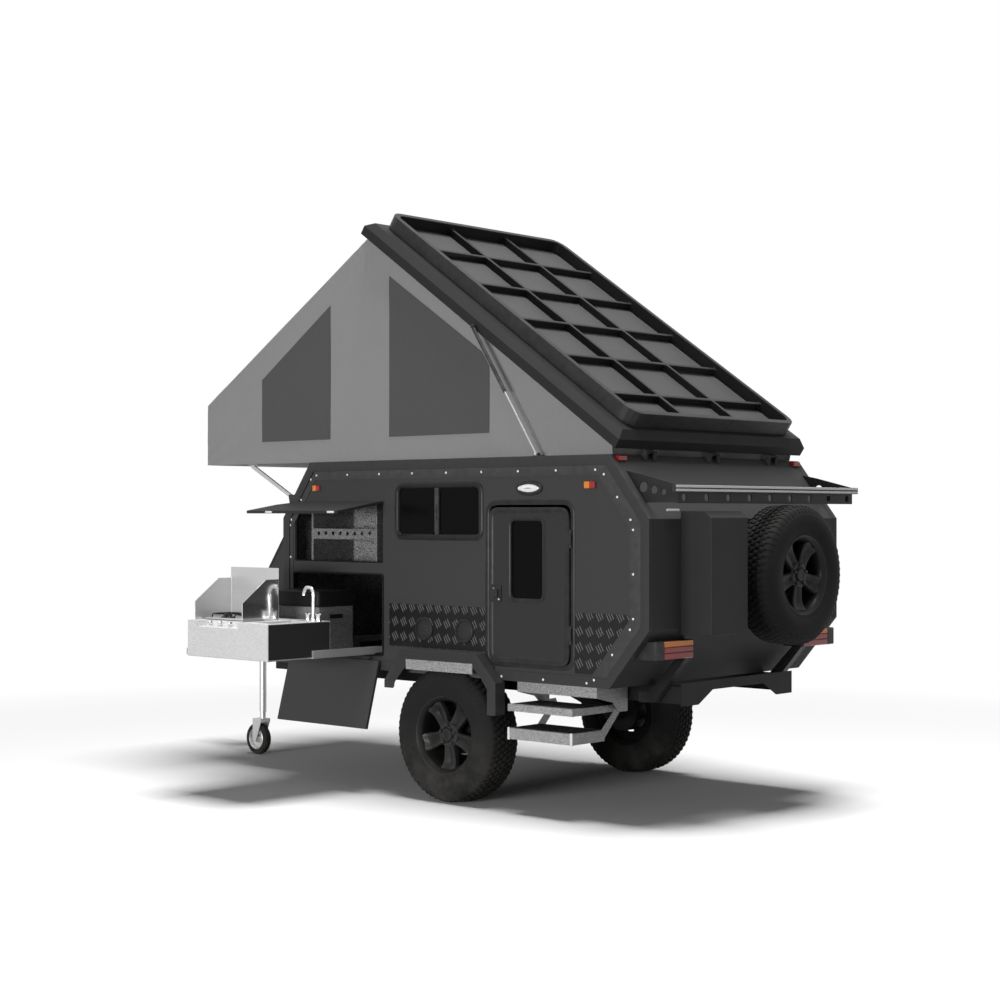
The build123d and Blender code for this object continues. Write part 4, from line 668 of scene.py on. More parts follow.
def tyre_parts(sizes):
    """A tyre about its own Z: a closed carcass turned from a smooth profile, and rows of tread blocks. A block is a
    small ring of corners at three heights, P(block, corner, height), bent round the tyre at angle s / R."""
    outer = TYRE_R
    base = outer - millimetres(sizes.tread_depth)
    half = millimetres(sizes.tyre_width) / 2
    side = curve(((half - 34, 219), (half - 20, 222), (half - 14, 232), (half - 12, 243), (half - 4, 268),
                  (half, 300),
                  (half - 3, 330), (half - 12, 356), (half - 26, base - 10), (half - 42, base - 2), (half - 70, base),
                  (0, base + 1)), 5)
    ridges = 1.4 * (np.exp(-((side[:, 1] - 276) / 2.2) ** 2) + np.exp(-((side[:, 1] - 341) / 2.2) ** 2))
    side[:, 0] += ridges
    inside = np.array(((0, base - 22), (half - 60, base - 22), (half - 30, 340), (half - 22, 300), (half - 26, 250),
                       (half - 44, 221)))
    ring = np.concatenate((side, side[-2::-1] * (-1, 1), inside[::-1] * (-1, 1), inside[1:]))
    parts = [turned(ring, (0, 0, 0), (0, 0, 1), 120, ring=True)]
    count = BLOCKS_ROUND
    pitch = 2 * np.pi * outer / count
    middle = ((-13, -15), (-3, -17), (9, -8), (13, 6), (6, 16), (-8, 12))
    beside = ((-12, -14), (4, -16), (13, -3), (12, 13), (-4, 16), (-13, 4))
    shoulder = ((-13, -15), (6, -15), (13, -5), (13, 10), (2, 15), (-12, 12))
    rows = ((0.0, 0.0, middle), (31.0, 0.5, beside), (-31.0, 0.5, beside), (62.0, 0.0, shoulder),
            (-62.0, 0.0, shoulder))
    for place, shift, block in rows:
        shape = np.array(block, float)
        turn = (np.arange(count) + shift) * pitch / outer
        heights = np.array((base - 3.0, outer - 1.2, outer))[None, None]
        shrink = np.array((1.0, 0.95, 0.84))[None, None]
        s = shape[None, :, 1, None] * shrink / outer + turn[:, None, None]
        z = place + shape[None, :, 0, None] * shrink + 0 * s
        radius = heights - 0.0009 * z ** 2 + 0 * s
        blocks = np.stack((radius * np.sin(s), radius * np.cos(s), z), axis=-1)
        parts.append(many(blocks))
    for way in (1, -1):
        turn = (np.arange(count) + 0.25 * (way > 0)) * pitch / outer
        line = np.array(((half - 56, outer - 2.5), (half - 36, outer - 7), (half - 22, outer - 20),
                         (half - 11, outer - 38), (half - 5.5, outer - 60)))
        drop = np.array(((half - 56, base - 6), (half - 40, base - 8), (half - 27, base - 16),
                         (half - 17, base - 34), (half - 9, base - 54)))
        wide = np.array((15.0, 15.0, 13.0, 11.0, 6.0))
        ring = np.concatenate((line, drop[::-1]))
        widths = np.concatenate((wide, wide[::-1] + 1.5))
        s = turn[:, None, None] + np.array((-1.0, 1.0))[None, None] * 0.5 * widths[None, :, None] / outer
        radius = ring[None, :, 1, None] + 0 * s
        lugs = np.stack((radius * np.sin(s), radius * np.cos(s), way * ring[None, :, 0, None] + 0 * s), axis=-1)
        parts.append(many(lugs))
    return parts


def many(points):
    """Many small closed lofts at once, from P(block, corner, line): each block's corners ring round, and its first and
    last line are closed."""
    blocks, ring, lines = points.shape[:3]
    _, faces = grid(points[0], wrap_u=True, cap_v=True)
    shift = (np.arange(blocks) * ring * lines)[:, None, None]
    return points.reshape(-1, 3), [(face[None] + shift).reshape(-1, face.shape[1]) for face in faces]


def rim_parts(sizes):
    """A five-spoke rim about its own Z: a turned barrel with rolled lips, spokes whose top face dips along the middle,
    and a hub with its cap."""
    lip = millimetres(sizes.rim_diameter) / 2
    barrel = ((114, lip - 3), (116, lip), (112, lip + 1), (106, lip - 6), (98, lip - 12), (40, lip - 24),
              (-90, lip - 22),
              (-106, lip - 8), (-114, lip), (-117, lip - 2), (-112, lip - 9), (-100, lip - 17), (-88, lip - 29),
              (40, lip - 31), (84, lip - 27), (98, lip - 20), (107, lip - 12))
    parts = [turned(barrel, (0, 0, 0), (0, 0, 1), 96, ring=True)]
    u = np.linspace(0, 1, 9)[:, None]
    radius = 34 + (lip - 27 - 34) * u
    half_wide = 33 + 22 * u ** 1.3
    top = 78 - 14 * np.sin(u * np.pi * 0.5) + 26 * u ** 6
    v = np.array((-1.0, -1.0, -0.86, -0.5, 0.0, 0.5, 0.86, 1.0, 1.0, 0.0))[None]
    sink = np.array((-34.0, -7.0, 0.0, -1.0, -9.0, -1.0, 0.0, -7.0, -34.0, -30.0))[None]
    z = top + sink
    spoke = np.stack((half_wide * v, radius + 0 * v, z), axis=-1)
    for k in range(SPOKES):
        turn = math.pi * (1 + 0.4 * k)
        c, s = math.cos(turn), math.sin(turn)
        parts.append(moved(grid(spoke, wrap_v=True, cap_u=True), ((c, -s, 0), (s, c, 0), (0, 0, 1))))
    hub = ((36, 46), (40, 74), (70, 76), (79, 70), (80, 50), (72, 40), (72, 2))
    cap = ((70, 37), (84, 36), (90, 32), (91, 24), (88, 21), (88, 1))
    back = ((-20, 60), (30, 62), (34, 70), (34, 1))
    for profile, sides in ((hub, 60), (cap, 40), (back, 40)):
        parts.append(turned(profile, (0, 0, 0), (0, 0, 1), sides))
    return parts


def lug_parts():
    """Five wheel nuts with domed ends, each turned from a profile with six sides."""
    profile = ((74, 12), (86, 12), (93, 8), (95, 1))
    return [turned(profile, (56 * math.sin(turn), 56 * math.cos(turn), 0), (0, 0, 1), 6)
            for turn in (math.pi * (1.2 + 0.4 * k) for k in range(SPOKES))]


class CAMPER_OT_tyres(bpy.types.Operator):
    """Two road tyres, the spare and the jockey wheel's tyre"""
    bl_idname = "camper.tyres"
    bl_label = "Tyres"

    def execute(self, context):
        sizes = context.scene.camper_sizes
        parts = tyre_parts(sizes)
        for which, node, body in (("left", "tyre_left", "wheel_left"), ("right", "tyre_right", "wheel_right"),
                                  ("spare", "spare_tyre", "trailer")):
            turn, centre = wheel_frame(which)
            make_piece(f"tread_tyre_{which}", [moved(part, turn, centre) for part in parts], FINISH["tyre"], body,
                       smooth=40, stands_for=(node,))
        turn, centre = wheel_frame("jockey")
        profile = curve(((24, 74), (28, 82), (29, 92), (24, 103), (14, 109), (0, 110), (-14, 109), (-24, 103),
                         (-29, 92), (-28, 82), (-24, 74)), 4)
        tread = turned(np.concatenate((profile, ((-20, 72), (20, 72)))), (0, 0, 0), (0, 0, 1), 72, ring=True)
        make_piece("jockey_tread", [moved(tread, turn, centre)], FINISH["tyre"], "jockey_wheel",
                   stands_for=("jockey_tyre",))
        return {"FINISHED"}


class CAMPER_OT_rims(bpy.types.Operator):
    """Three five-spoke rims with their nuts, and the jockey wheel's pressed rim"""
    bl_idname = "camper.rims"
    bl_label = "Rims"

    def execute(self, context):
        parts = rim_parts(context.scene.camper_sizes)
        for which, node, body in (("left", "rim_left", "wheel_left"), ("right", "rim_right", "wheel_right"),
                                  ("spare", "spare_rim", "trailer")):
            turn, centre = wheel_frame(which)
            make_piece(f"spoked_rim_{which}", [moved(part, turn, centre) for part in parts], FINISH["rim"], body,
                       smooth=32, stands_for=(node,))
            # Painted shade: a dark ring behind the spokes, where the wheel's hollow shows only shade.
            back = turned(((-62, 204), (-56, 204), (-56, 132), (-62, 132)), (0, 0, 0), (0, 0, 1), 48, ring=True)
            make_piece(f"spoke_shade_ring_{which}", [moved(back, turn, centre)], FINISH["rubber"], body)
            make_piece(f"wheel_nuts_{which}", [moved(part, turn, centre) for part in lug_parts()],
                       FINISH["frame black"], body)
        turn, centre = wheel_frame("jockey")
        profile = ((26, 74), (28, 70), (22, 64), (8, 58), (6, 30), (28, 20), (30, 9), (-30, 9), (-28, 20), (-6, 30),
                   (-8, 58), (-22, 64), (-28, 70), (-26, 74))
        make_piece("jockey_disc", [moved(turned(profile, (0, 0, 0), (0, 0, 1), 48, ring=True), turn, centre)],
                   FINISH["bright steel"], "jockey_wheel", stands_for=("jockey_rim",))
        return {"FINISHED"}


# ---- Body

BAND_RIVETS = [(1153 - 282.1 * k, 1930) for k in range(9)] + [
    (-1050, 764), (-736, 764), (-423, 764), (1206, 1904), (1297, 1777), (1390, 1652), (1400, 1617), (1398, 1414),
    (-1163, 1904), (-1256, 1780), (-1347, 1657), (-1365, 1603), (-1365, 1365), (-1365, 1126), (-1343, 1068),
    (-1222, 927), (-1102, 784),
]
RIVET_STAND, LOW_RIVET_STAND, LOW_RIVET_Z = 0, 9, 790
BAND_OUTER = ((-1207, 2012), (-1478, 1662), (-1478, 1065), (-1207, 742),
              (1207, 742), (1460, 1065), (1460, 1662), (1205, 2012))
BAND_INNER = ((-1122, 1900), (-1340, 1610), (-1340, 1118), (-1066, 790),
              (1100, 790), (1376, 1118), (1376, 1610), (1160, 1900))


def side_fasteners(radius):
    """Domed rivets round the side's band: each is turned from a short profile. The low ones stand further out."""
    rivet = turned(((0, radius), (1.4, radius), (2.6, radius * 0.6), (3.0, 0.3)), (0, HALF_W + 3, 0), (0, 1, 0), 12)
    places = [(x, LOW_RIVET_STAND if z < LOW_RIVET_Z else RIVET_STAND, z) for x, z in BAND_RIVETS]
    return repeated(rivet, places)


def side_band():
    """The flat flange inside the edge bands: one ring between an outer and an inner outline."""
    outer, inner = np.array(BAND_OUTER, float), np.array(BAND_INNER, float)
    rows = [np.column_stack((line[:, 0], np.full(8, height), line[:, 1]))
            for line, height in ((outer, HALF_W - 1), (outer, HALF_W + 3), (inner, HALF_W + 3.5),
                                 (inner, HALF_W - 1))]
    return grid(np.stack(rows), wrap_u=True, wrap_v=True)


def window_frame_parts():
    """A window's thick frame, two panes wide: a rounded outer band and a middle bar, with a lip that laps the wall."""
    outer = rounded_loop(corners(-261, 445, 1542, 1866), 62, 10)
    ring = moulding(outer, ((10, HALF_W + 0.5), (9, HALF_W + 5), (3, HALF_W + 9), (-8, HALF_W + 10.5),
                            (-19, HALF_W + 8),
                            (-26, HALF_W + 1), (-28, HALF_W - 8), (-28, HALF_W - 20), (-6, HALF_W - 24),
                            (0, HALF_W - 1)), "xz")
    middle = box(84, 118, HALF_W - 20, HALF_W + 7, 1564, 1844, 3)
    catch = box(96, 106, HALF_W + 6, HALF_W + 13, 1660, 1740, 2)
    return [ring, middle, catch]


class CAMPER_OT_shell(bpy.types.Operator):
    """Body panels, edge bands, tread plates and their rivets"""
    bl_idname = "camper.shell"
    bl_label = "Body shell"

    def execute(self, context):
        sizes = context.scene.camper_sizes
        for name in ("side_wall_left", "side_wall_right", "front_panel", "rear_panel", "roof_panel"):
            dress_node(name, FINISH["wall"], 1.5)
        dress_nodes(
            ("floor_panel", "chassis black", 2),
            ("edge_trims", "trim", 2.0),
            ("checker_plates", "tread plate", 1.0),
            ("fenders", "trim", 2.5),
        )
        band = side_band()
        make_piece("side_bands", both_sides([band]), FINISH["trim"], "trailer")
        strip = box(-262, 277, 1000, 1002.5, 770, 830, 1)
        make_piece("fender_strips", both_sides([strip]), FINISH["galvanised"], "trailer")
        dress_nodes(
            # The lining's pale finish is partly painted light for the dim bays.
            ("bay_liner", "lining", 1.5),
            ("body_hinges", "wall", 0),
        )
        rivets = side_fasteners(millimetres(sizes.rivet_size) / 2)
        make_piece("band_rivets", both_sides([rivets]), FINISH["light alloy"], "trailer")
        return {"FINISHED"}


class CAMPER_OT_windows(bpy.types.Operator):
    """Side windows: frames, middle bars and dark panes"""
    bl_idname = "camper.windows"
    bl_label = "Windows"

    def execute(self, context):
        frames = both_sides(window_frame_parts())
        surround = moulding(rounded_loop(corners(-951, -295, 825, 1762), 84, 10),
                            ((0, HALF_W - 28), (6, HALF_W - 2), (6, HALF_W + 3), (0, HALF_W + 6), (-14, HALF_W + 6),
                             (-22, HALF_W + 2), (-23, HALF_W - 28)), "xz")
        make_piece("window_frames", frames, FINISH["frame black"], "trailer", stands_for=("frames",))
        make_piece("door_surround", [surround], FINISH["frame black"], "trailer")
        dress_node("window_glass", FINISH["dark glass"], 0)
        return {"FINISHED"}


class CAMPER_OT_door(bpy.types.Operator):
    """Entry door: raised border, window frame, latch plate and hinges"""
    bl_idname = "camper.door"
    bl_label = "Entry door"

    def execute(self, context):
        dress_nodes(
            ("entry_door", "door", 1.2),
            ("entry_door_glass", "dark glass", 0),
        )
        face = HALF_W + 6
        border = moulding(rounded_loop(corners(-922, -320, 841, 1726), 72, 10),
                          ((-1, face - 8), (-1, face + 2), (-4, face + 5), (-26, face + 5), (-34, face + 0.5),
                           (-34, face - 2)), "xz")
        glazing = moulding(rounded_loop(corners(-731, -481, 1204, 1657), 42, 8),
                           ((15, face - 2), (15, face + 2), (11, face + 5), (0, face + 5), (-6, face + 1),
                            (-8, face - 10), (0, face - 12)), "xz")
        make_piece("door_border", [border, glazing], FINISH["frame black"], "door")
        cover = [plate(rounded_loop(corners(-419, -332, 1185, 1287), 14, 5), face, face + 8, "xz", 3),
                 moulding(rounded_loop(corners(-407, -344, 1204, 1270), 8, 4),
                          ((0, face + 7), (0, face + 10), (-4, face + 10), (-5, face + 7)), "xz"),
                 plate(rounded_loop(corners(-400, -350, 1212, 1252), 6, 4), face + 6, face + 16, "xz", 3)]
        make_piece("door_latch", cover, FINISH["frame black"], "door")
        lock = ((0, 5), (2, 5), (3, 3.5), (3.2, 0.3))
        dots = [turned(lock, (x, face + 7, z), (0, 1, 0), 16) for x, z in ((-363, 1261), (-403, 1203))]
        make_piece("door_latch_locks", dots, FINISH["light alloy"], "door")
        return {"FINISHED"}


class CAMPER_OT_lamps(bpy.types.Operator):
    """Porch lamp, marker lamps, tail lamps and roof clearance lamps"""
    bl_idname = "camper.lamps"
    bl_label = "Lamps"

    def execute(self, context):
        turn = np.linspace(0, 2 * np.pi, 48, endpoint=False)
        oval = np.stack((-624 + 101 * np.cos(turn), 1833 + 42 * np.sin(turn)), axis=-1)
        bezel = moulding(oval, ((0, HALF_W), (0, HALF_W + 6), (-4, HALF_W + 12), (-14, HALF_W + 14),
                                (-20, HALF_W + 10), (-20, HALF_W)), "xz")
        lens = moulding(oval, ((-19, HALF_W), (-19, HALF_W + 9), (-24, HALF_W + 13), (-32, HALF_W + 15),
                               (-40, HALF_W + 16)), "xz", solid=True)
        make_piece("porch_bezel", [bezel], FINISH["frame black"], "trailer", stands_for=("porch_light",))
        make_piece("porch_lens", [lens], FINISH["white lens"], "trailer")
        amber, red, base = [], [], []
        for front, back, low, high in ((1184, 1117, 1829, 1868), (-1028, -1109, 1826, 1868)):
            middle = (front + back) / 2
            amber.append(box(middle + 0.5, front - 2, HALF_W + 3, HALF_W + 13.5, low + 2, high - 2, 2.5))
            red.append(box(back + 2, middle - 0.5, HALF_W + 3, HALF_W + 13.5, low + 2, high - 2, 2.5))
            base.append(box(back, front, HALF_W, HALF_W + 5, low, high, 1.5))
        amber, red, base = both_sides(amber), both_sides(red), both_sides(base)
        tail_amber, tail_red, tail_base = [], [], []
        for side in (1, -1):
            y0, y1 = sorted((side * 545, side * 877))
            inner, outer = (y0, y1) if side > 0 else (y1, y0)
            end = outer - side * 70
            tail_amber.append(box(-1490, -1478, inner + side * 3, end, 973, 1003, 2.5))
            tail_red.append(box(-1490, -1478, inner + side * 3, end, 941, 971, 2.5))
            tail_red.append(box(-1490, -1478, inner + side * 3, end, 907, 939, 2.5))
            tail_base.append(box(-1487, -1472, inner, outer, 905, 1005, 2))
            tail_base.append(box(-1490, -1480, end + side * 2, outer, 907, 1003, 3))
            red.append(box(-1245, -1213, side * 817, side * 888, 1978, 2005, 2.5))
        make_piece("marker_bases", base + tail_base, FINISH["frame black"], "trailer",
                   stands_for=("marker_lamps", "tail_lamps"))
        make_piece("amber_lenses", amber + tail_amber, FINISH["amber lens"], "trailer")
        make_piece("red_lenses", red + tail_red, FINISH["red lens"], "trailer")
        return {"FINISHED"}


class CAMPER_OT_vents(bpy.types.Operator):
    """Round side vents with fine mesh"""
    bl_idname = "camper.vents"
    bl_label = "Side vents"

    def execute(self, context):
        rings, meshes = [], []
        for x in (203, -125):
            centre = (x, HALF_W + 3, 1006)
            profile = ((0, 71), (6, 71), (10, 68), (12, 63), (11, 57), (6, 55), (0, 55))
            rings.append(turned(profile, centre, (0, 1, 0), 56, ring=True))
            meshes.append(turned(((1, 56), (6, 56), (9, 40), (10.5, 20), (11, 1)), centre, (0, 1, 0), 48))
        make_piece("vent_rings", both_sides(rings), FINISH["frame black"], "trailer", stands_for=("side_vents",))
        # The vent mesh's holes are painted near black as painted shade.
        mesh_finish = finish("vent mesh", shade(58), 0.5, metal=0.2, pattern="pinholes", depth=0.003)
        make_piece("vent_meshes", both_sides(meshes), mesh_finish, "trailer")
        return {"FINISHED"}


# ---- Roof lid and tent

def lid_line(along, height):
    """A point of the open lid in side view, from its place along the lid and above its lower edge."""
    c, s = math.cos(LID_TILT), math.sin(LID_TILT)
    return LID_ORIGIN[0] + along * c - height * s, LID_ORIGIN[2] + along * s + height * c


RIDGE = lid_line(2380, -6)
EAVE = (2300.0, 2412.0)
TENT_Y = 866.0
TENT_FOOT = 2014.0


def tent_top(x):
    """Height of the tent's side at x: up under the lid to the ridge, then down the front slope to the eave."""
    low, high = lid_line(30, 18), lid_line(2374, 18)
    return np.interp(x, (low[0], RIDGE[0], EAVE[0]), (low[1], min(high[1], RIDGE[1]), EAVE[1]))


def cloth_y(x, z):
    """How far out the side cloth hangs at (x, z): taut at its edges, drawn in a little between them, with faint
    tension folds that run down from the ridge and up from the two lower corners."""
    top = tent_top(x)
    v = np.clip((z - TENT_FOOT) / np.maximum(top - TENT_FOOT, 1), 0, 1)
    sag = 4.0 * np.sin(np.pi * v) * np.sin(np.pi * np.clip((x + 1180) / 3480, 0, 1))
    ridge = np.arctan2(x - RIDGE[0], RIDGE[1] + 60 - z)
    folds = 1.1 * np.sin(ridge * 26) * np.exp(-((RIDGE[1] - z) / 900) ** 2)
    corner = np.arctan2(z - TENT_FOOT + 40, 2380 - x)
    folds += 1.2 * np.sin(corner * 17) * np.exp(-(((2300 - x) / 800) ** 2))
    folds += 0.7 * np.sin(x / 190 + 1.3 * np.sin(z / 260)) * np.sin(np.pi * v)
    return TENT_Y - sag + folds - 1.0


def side_cloth(x0, x1, low, high, lift=0.0, columns=120, rows=60):
    """One panel of the tent's left side: P(u, v) = (x(u), cloth_y, z(v)) between two height lines."""
    x = np.linspace(x0, x1, columns)[:, None] + np.zeros((1, rows))
    v = np.linspace(0, 1, rows)[None]
    bottom, top = low(x), high(x)
    z = bottom + (top - bottom) * v
    return grid(np.stack((x, cloth_y(x, z) + lift, z), axis=-1))


def line_between(*points):
    """A height line through (x, z) points."""
    p = np.asarray(points, float)
    return lambda x: np.interp(x, p[:, 0], p[:, 1])


def add_sheet(name, part, finish_name):
    """A cloth piece on the trailer, with a mesh of its own."""
    piece = make_piece(name, [part], FINISH[finish_name], "trailer", closed=False, smooth=60)
    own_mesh(piece)
    return piece


class CAMPER_OT_tent(bpy.types.Operator):
    """Tent cloth: both sides with their window panels, the front slope and wall, and the strip at the hinge"""
    bl_idname = "camper.tent"
    bl_label = "Tent"

    def execute(self, context):
        whole = side_cloth(-1180, 2300, lambda x: np.full_like(x, TENT_FOOT), tent_top, columns=240, rows=90)
        panels = {
            "front": side_cloth(1085, 1741, lambda x: np.full_like(x, 2155.0),
                                line_between((1085, 2996), (1741, 2558)), 2.5),
            "rear": side_cloth(-269, 558, lambda x: np.full_like(x, 2156.0),
                               line_between((-269, 2542), (-211, 2629), (558, 3135)), 2.5),
        }
        x = np.linspace(-1180, 2300, 400)
        for side, label in ((1, "left"), (-1, "right")):
            turn = (lambda part: part) if side > 0 else mirrored
            piece = add_sheet(f"tent_side_{label}", turn(whole), "canvas")
            if side > 0:
                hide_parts("tent")
            add_sheet(f"tent_window_front_{label}", turn(panels["front"]), "canvas window")
            add_sheet(f"tent_window_rear_{label}", turn(panels["rear"]), "canvas window")
        path = np.array(((EAVE[0], TENT_FOOT), (EAVE[0], EAVE[1] - 30), (EAVE[0] - 8, EAVE[1] - 8),
                         (EAVE[0] - 30, EAVE[1] + 12), (RIDGE[0] + 12, RIDGE[1] - 10)))
        run = np.concatenate(([0], np.cumsum(np.linalg.norm(np.diff(path, axis=0), axis=1))))
        t = np.linspace(0, run[-1], 110)
        x, z = np.interp(t, run, path[:, 0]), np.interp(t, run, path[:, 1])
        y = np.linspace(-TENT_Y + 1, TENT_Y - 1, 90)[:, None]
        starts, ends = np.clip((t - 450) / 300, 0, 1)[None], np.clip((run[-1] - t) / 300, 0, 1)[None]
        slack = 7 * np.sin(np.pi * (y / TENT_Y * 0.5 + 0.5)) * starts * ends
        front = np.stack(np.broadcast_arrays(x[None] - slack * 0.5, y, z[None] - slack), axis=-1)
        add_sheet("tent_front", grid(front), "canvas")
        y, z = np.meshgrid(np.linspace(-TENT_Y, TENT_Y, 60), np.linspace(TENT_FOOT, 2088, 6), indexing="ij")
        rear = np.stack((-1181 - (z - TENT_FOOT) * 0.2, y, z), axis=-1)
        add_sheet("tent_hinge_strip", grid(rear), "canvas")
        return {"FINISHED"}


class CAMPER_OT_lid(bpy.types.Operator):
    """Roof lid: shell, rack rim and ribs, and its gas struts"""
    bl_idname = "camper.lid"
    bl_label = "Roof lid"

    def execute(self, context):
        dress_nodes(
            ("lid_shell", "lid paint", 3.0),
            ("lid_tray", "rack black", 5.0),
        )
        deck = on_lid(box(102, 2334, -760, 760, 104, 113.5, 1, 40))
        make_piece("lid_deck", [deck], FINISH["lid deck"], "lid")
        dress_nodes(
            ("lid_strut_tubes", "frame black", 0),
            ("lid_strut_rods", "aluminium", 0),
        )
        return {"FINISHED"}


class CAMPER_OT_platform(bpy.types.Operator):
    """Fold-out bed platform and its props"""
    bl_idname = "camper.platform"
    bl_label = "Bed platform"

    def execute(self, context):
        dress_nodes(
            ("bed_platform", "platform", 3),
            ("platform_props", "aluminium", 1.5),
        )
        return {"FINISHED"}


# ---- Kitchen side

class CAMPER_OT_bay(bpy.types.Operator):
    """Kitchen bays: frames, seals, shelf, hatch and drop door"""
    bl_idname = "camper.bay"
    bl_label = "Kitchen bays"

    def execute(self, context):
        upper = rounded_loop(((558, 1390), (1360, 1390), (1360, 1636), (1298, 1752), (558, 1752)), 12, 3)
        lower = rounded_loop(corners(558, 1365, 833, 1318), 14, 3)
        band = ((9, HALF_W + 0.5), (9, HALF_W + 4), (2, HALF_W + 8), (-2, HALF_W + 7), (-3, HALF_W + 2),
                (-3, HALF_W - 26), (0, HALF_W - 28), (2, HALF_W - 3))
        inside = ((1, HALF_W - 3), (-2, HALF_W - 3), (-8, HALF_W - 7), (-8, HALF_W - 26), (1, HALF_W - 28))
        make_piece("bay_frames", [moulding(upper, inside, "xz"), moulding(lower, band, "xz")], FINISH["rubber"],
                   "trailer")
        dress_nodes(
            # The shelf's pale finish is partly painted light for the inside of the bay.
            ("shelf_unit", "speckled side", 1),
            ("upper_hatch", "plain plate", 2),
        )
        catches = [box(x - 30, x + 30, 1304, 1311, 1693, 1705, 2) for x in (1160, 600)]
        make_piece("hatch_catches", catches, FINISH["light alloy"], "hatch")
        dress_nodes(
            ("drop_door", "drop door", 2),
            ("slide_runners_inner", "aluminium", 1),
            ("slide_runners_outer", "bright steel", 1),
        )
        return {"FINISHED"}


UNIT_TOP = 1054
TAP_X, TAP_Y = 674, 1376
BURNERS_X, BURNERS_Y = (985, 1195), 1596
KNOB_FIRST_X, KNOB_STEP, KNOB_Y, KNOB_Z = 934, 92, 1704, 1038


def knob(x, y, z):
    """A hob's knob: a turned skirt and a grip bar across it."""
    return [turned(((0, 16), (4, 16), (7, 13), (22, 11.5), (26, 10), (26.5, 0.5)), (x, y, z), (0, 1, 0), 32),
            box(x - 2.2, x + 2.2, y + 8, y + 28, z - 12, z + 12, 1)]


class CAMPER_OT_kitchen(bpy.types.Operator):
    """Slide-out kitchen: unit, hob with burners and grates, tap, shield and fridge"""
    bl_idname = "camper.kitchen"
    bl_label = "Kitchen"

    def execute(self, context):
        dress_node("kitchen_unit", FINISH["kitchen face"], 2.0)
        # Painted shade: thin dark plates cover the unit's two end faces, which are the same speckled sheet as its face
        # but stand in shade.
        flanks = [box(609.5, 612.5, 1304, 1776, 847, 1050, 0.8), box(1344.5, 1347.5, 1304, 1776, 847, 1050, 0.8)]
        make_piece("unit_flanks_painted_shade", flanks, FINISH["plain plate"], "kitchen")
        dress_node("wind_shield", FINISH["bright steel"], 0.8)
        wing = plate(np.array(((1480, 1056), (1753, 1056), (1753, 1166), (1575, 1298), (1480, 1298)), float), 869.5,
                     869.95, "yz", 0.1)
        make_piece("shield_flank", [wing], FINISH["chrome"], "shield")
        top = UNIT_TOP
        pan = [plate(rounded_loop(corners(890, 1290, 1495, 1696), 10), top, top + 8, "xy", 2),
               moulding(rounded_loop(corners(890, 1290, 1495, 1696), 12),
                        ((0, top), (0, top + 13), (-2, top + 15), (-9, top + 15), (-12, top + 8)), "xy")]
        make_piece("hob_pan", pan, FINISH["bright steel"], "kitchen", stands_for=("hob",))
        dark, grates, knobs = [], [], []
        for x in BURNERS_X:
            y = BURNERS_Y
            dark += [turned(((0, 40), (5, 42), (9, 38), (10, 1)), (x, y, top + 8), (0, 0, 1), 40),
                     turned(((10, 27), (16, 29), (20, 27), (21, 22), (22, 1)), (x, y, top + 8), (0, 0, 1), 40)]
            ring = np.concatenate((circle(74, 48), np.full((48, 1), top + 36)), axis=1) + (x, y, 0)
            grates.append(swept(ring, circle(3.5, 10), wrap=True))
            for k in range(4):
                turn = math.pi * (0.25 + 0.5 * k)
                c, s = math.cos(turn), math.sin(turn)
                finger = ((24, 37), (60, 37), (88, 34), (94, 12))
                path = curve([(x + out * c, y + out * s, top + up) for out, up in finger], 6)
                grates.append(swept(path, circle(3.6, 10)))
        for k in range(4):
            knobs += knob(KNOB_FIRST_X + KNOB_STEP * k, KNOB_Y, KNOB_Z)
        make_piece("hob_burners", dark, FINISH["frame black"], "kitchen")
        make_piece("hob_grates", grates, FINISH["rubber"], "kitchen")
        make_piece("hob_knobs", knobs, FINISH["chrome"], "kitchen")
        rise = ((0, 0), (0, 90), (0, 165), (20, 194), (60, 195), (81, 163), (82, 150))
        neck = curve([(TAP_X + out, TAP_Y, top + up) for out, up in rise], 10)
        foot = ((0, 22), (8, 22), (12, 15), (26, 14), (30, 12.5), (30, 1))
        stem = ((0, 19), (4, 19), (8, 15), (34, 14.5), (40, 11), (42, 1))
        tap = [swept(neck, circle(11.5, 20), up=(0, 1, 0)), turned(foot, (TAP_X, TAP_Y, top), (0, 0, 1), 32)]
        for x in (TAP_X - 45, TAP_X + 45):
            tap += [turned(stem, (x, TAP_Y, top), (0, 0, 1), 28),
                    bar((x - 24, TAP_Y, top + 44), (x + 24, TAP_Y, top + 44), 5, 14),
                    bar((x, TAP_Y - 24, top + 44), (x, TAP_Y + 24, top + 44), 5, 14)]
        make_piece("tap", tap, FINISH["chrome"], "kitchen")
        body = [box(760, 1250, 969, 1259, 862, 1128, 3, 16)]
        make_piece("fridge_box", body, FINISH["fridge body"], "kitchen", stands_for=("fridge",))
        lid = [box(757, 1253, 966, 1262, 1134, 1222, 5, 22), box(766, 1244, 975, 1253, 1126, 1136, 1, 12)]
        handles = [box(756, 761, 1062, 1166, 1056, 1082, 2)]
        make_piece("fridge_lid", lid + handles, FINISH["fridge lid"], "kitchen")
        return {"FINISHED"}


# ---- Steps, chassis and drawbar

class CAMPER_OT_steps(bpy.types.Operator):
    """Entry steps with their grip strips and end caps"""
    bl_idname = "camper.steps"
    bl_label = "Entry steps"

    def execute(self, context):
        dress_nodes(
            ("entry_steps", "galvanised", 2.0),
            ("step_bracket", "galvanised", 2.0),
        )
        strips = []
        for top in (621, 487):
            strips += [box(-990, -551, y, y + 34, top - 0.5, top + 1.6, 0.6, 4) for y in (738, 786, 834, 882, 930)]
        caps = [box(x, x + 16, 994, 1003, 421, 491, 3, 3) for x in (-549, -1008)]
        make_piece("tread_caps", caps, FINISH["light alloy"], "steps")
        make_piece("step_grips", strips, FINISH["grip"], "steps")
        return {"FINISHED"}


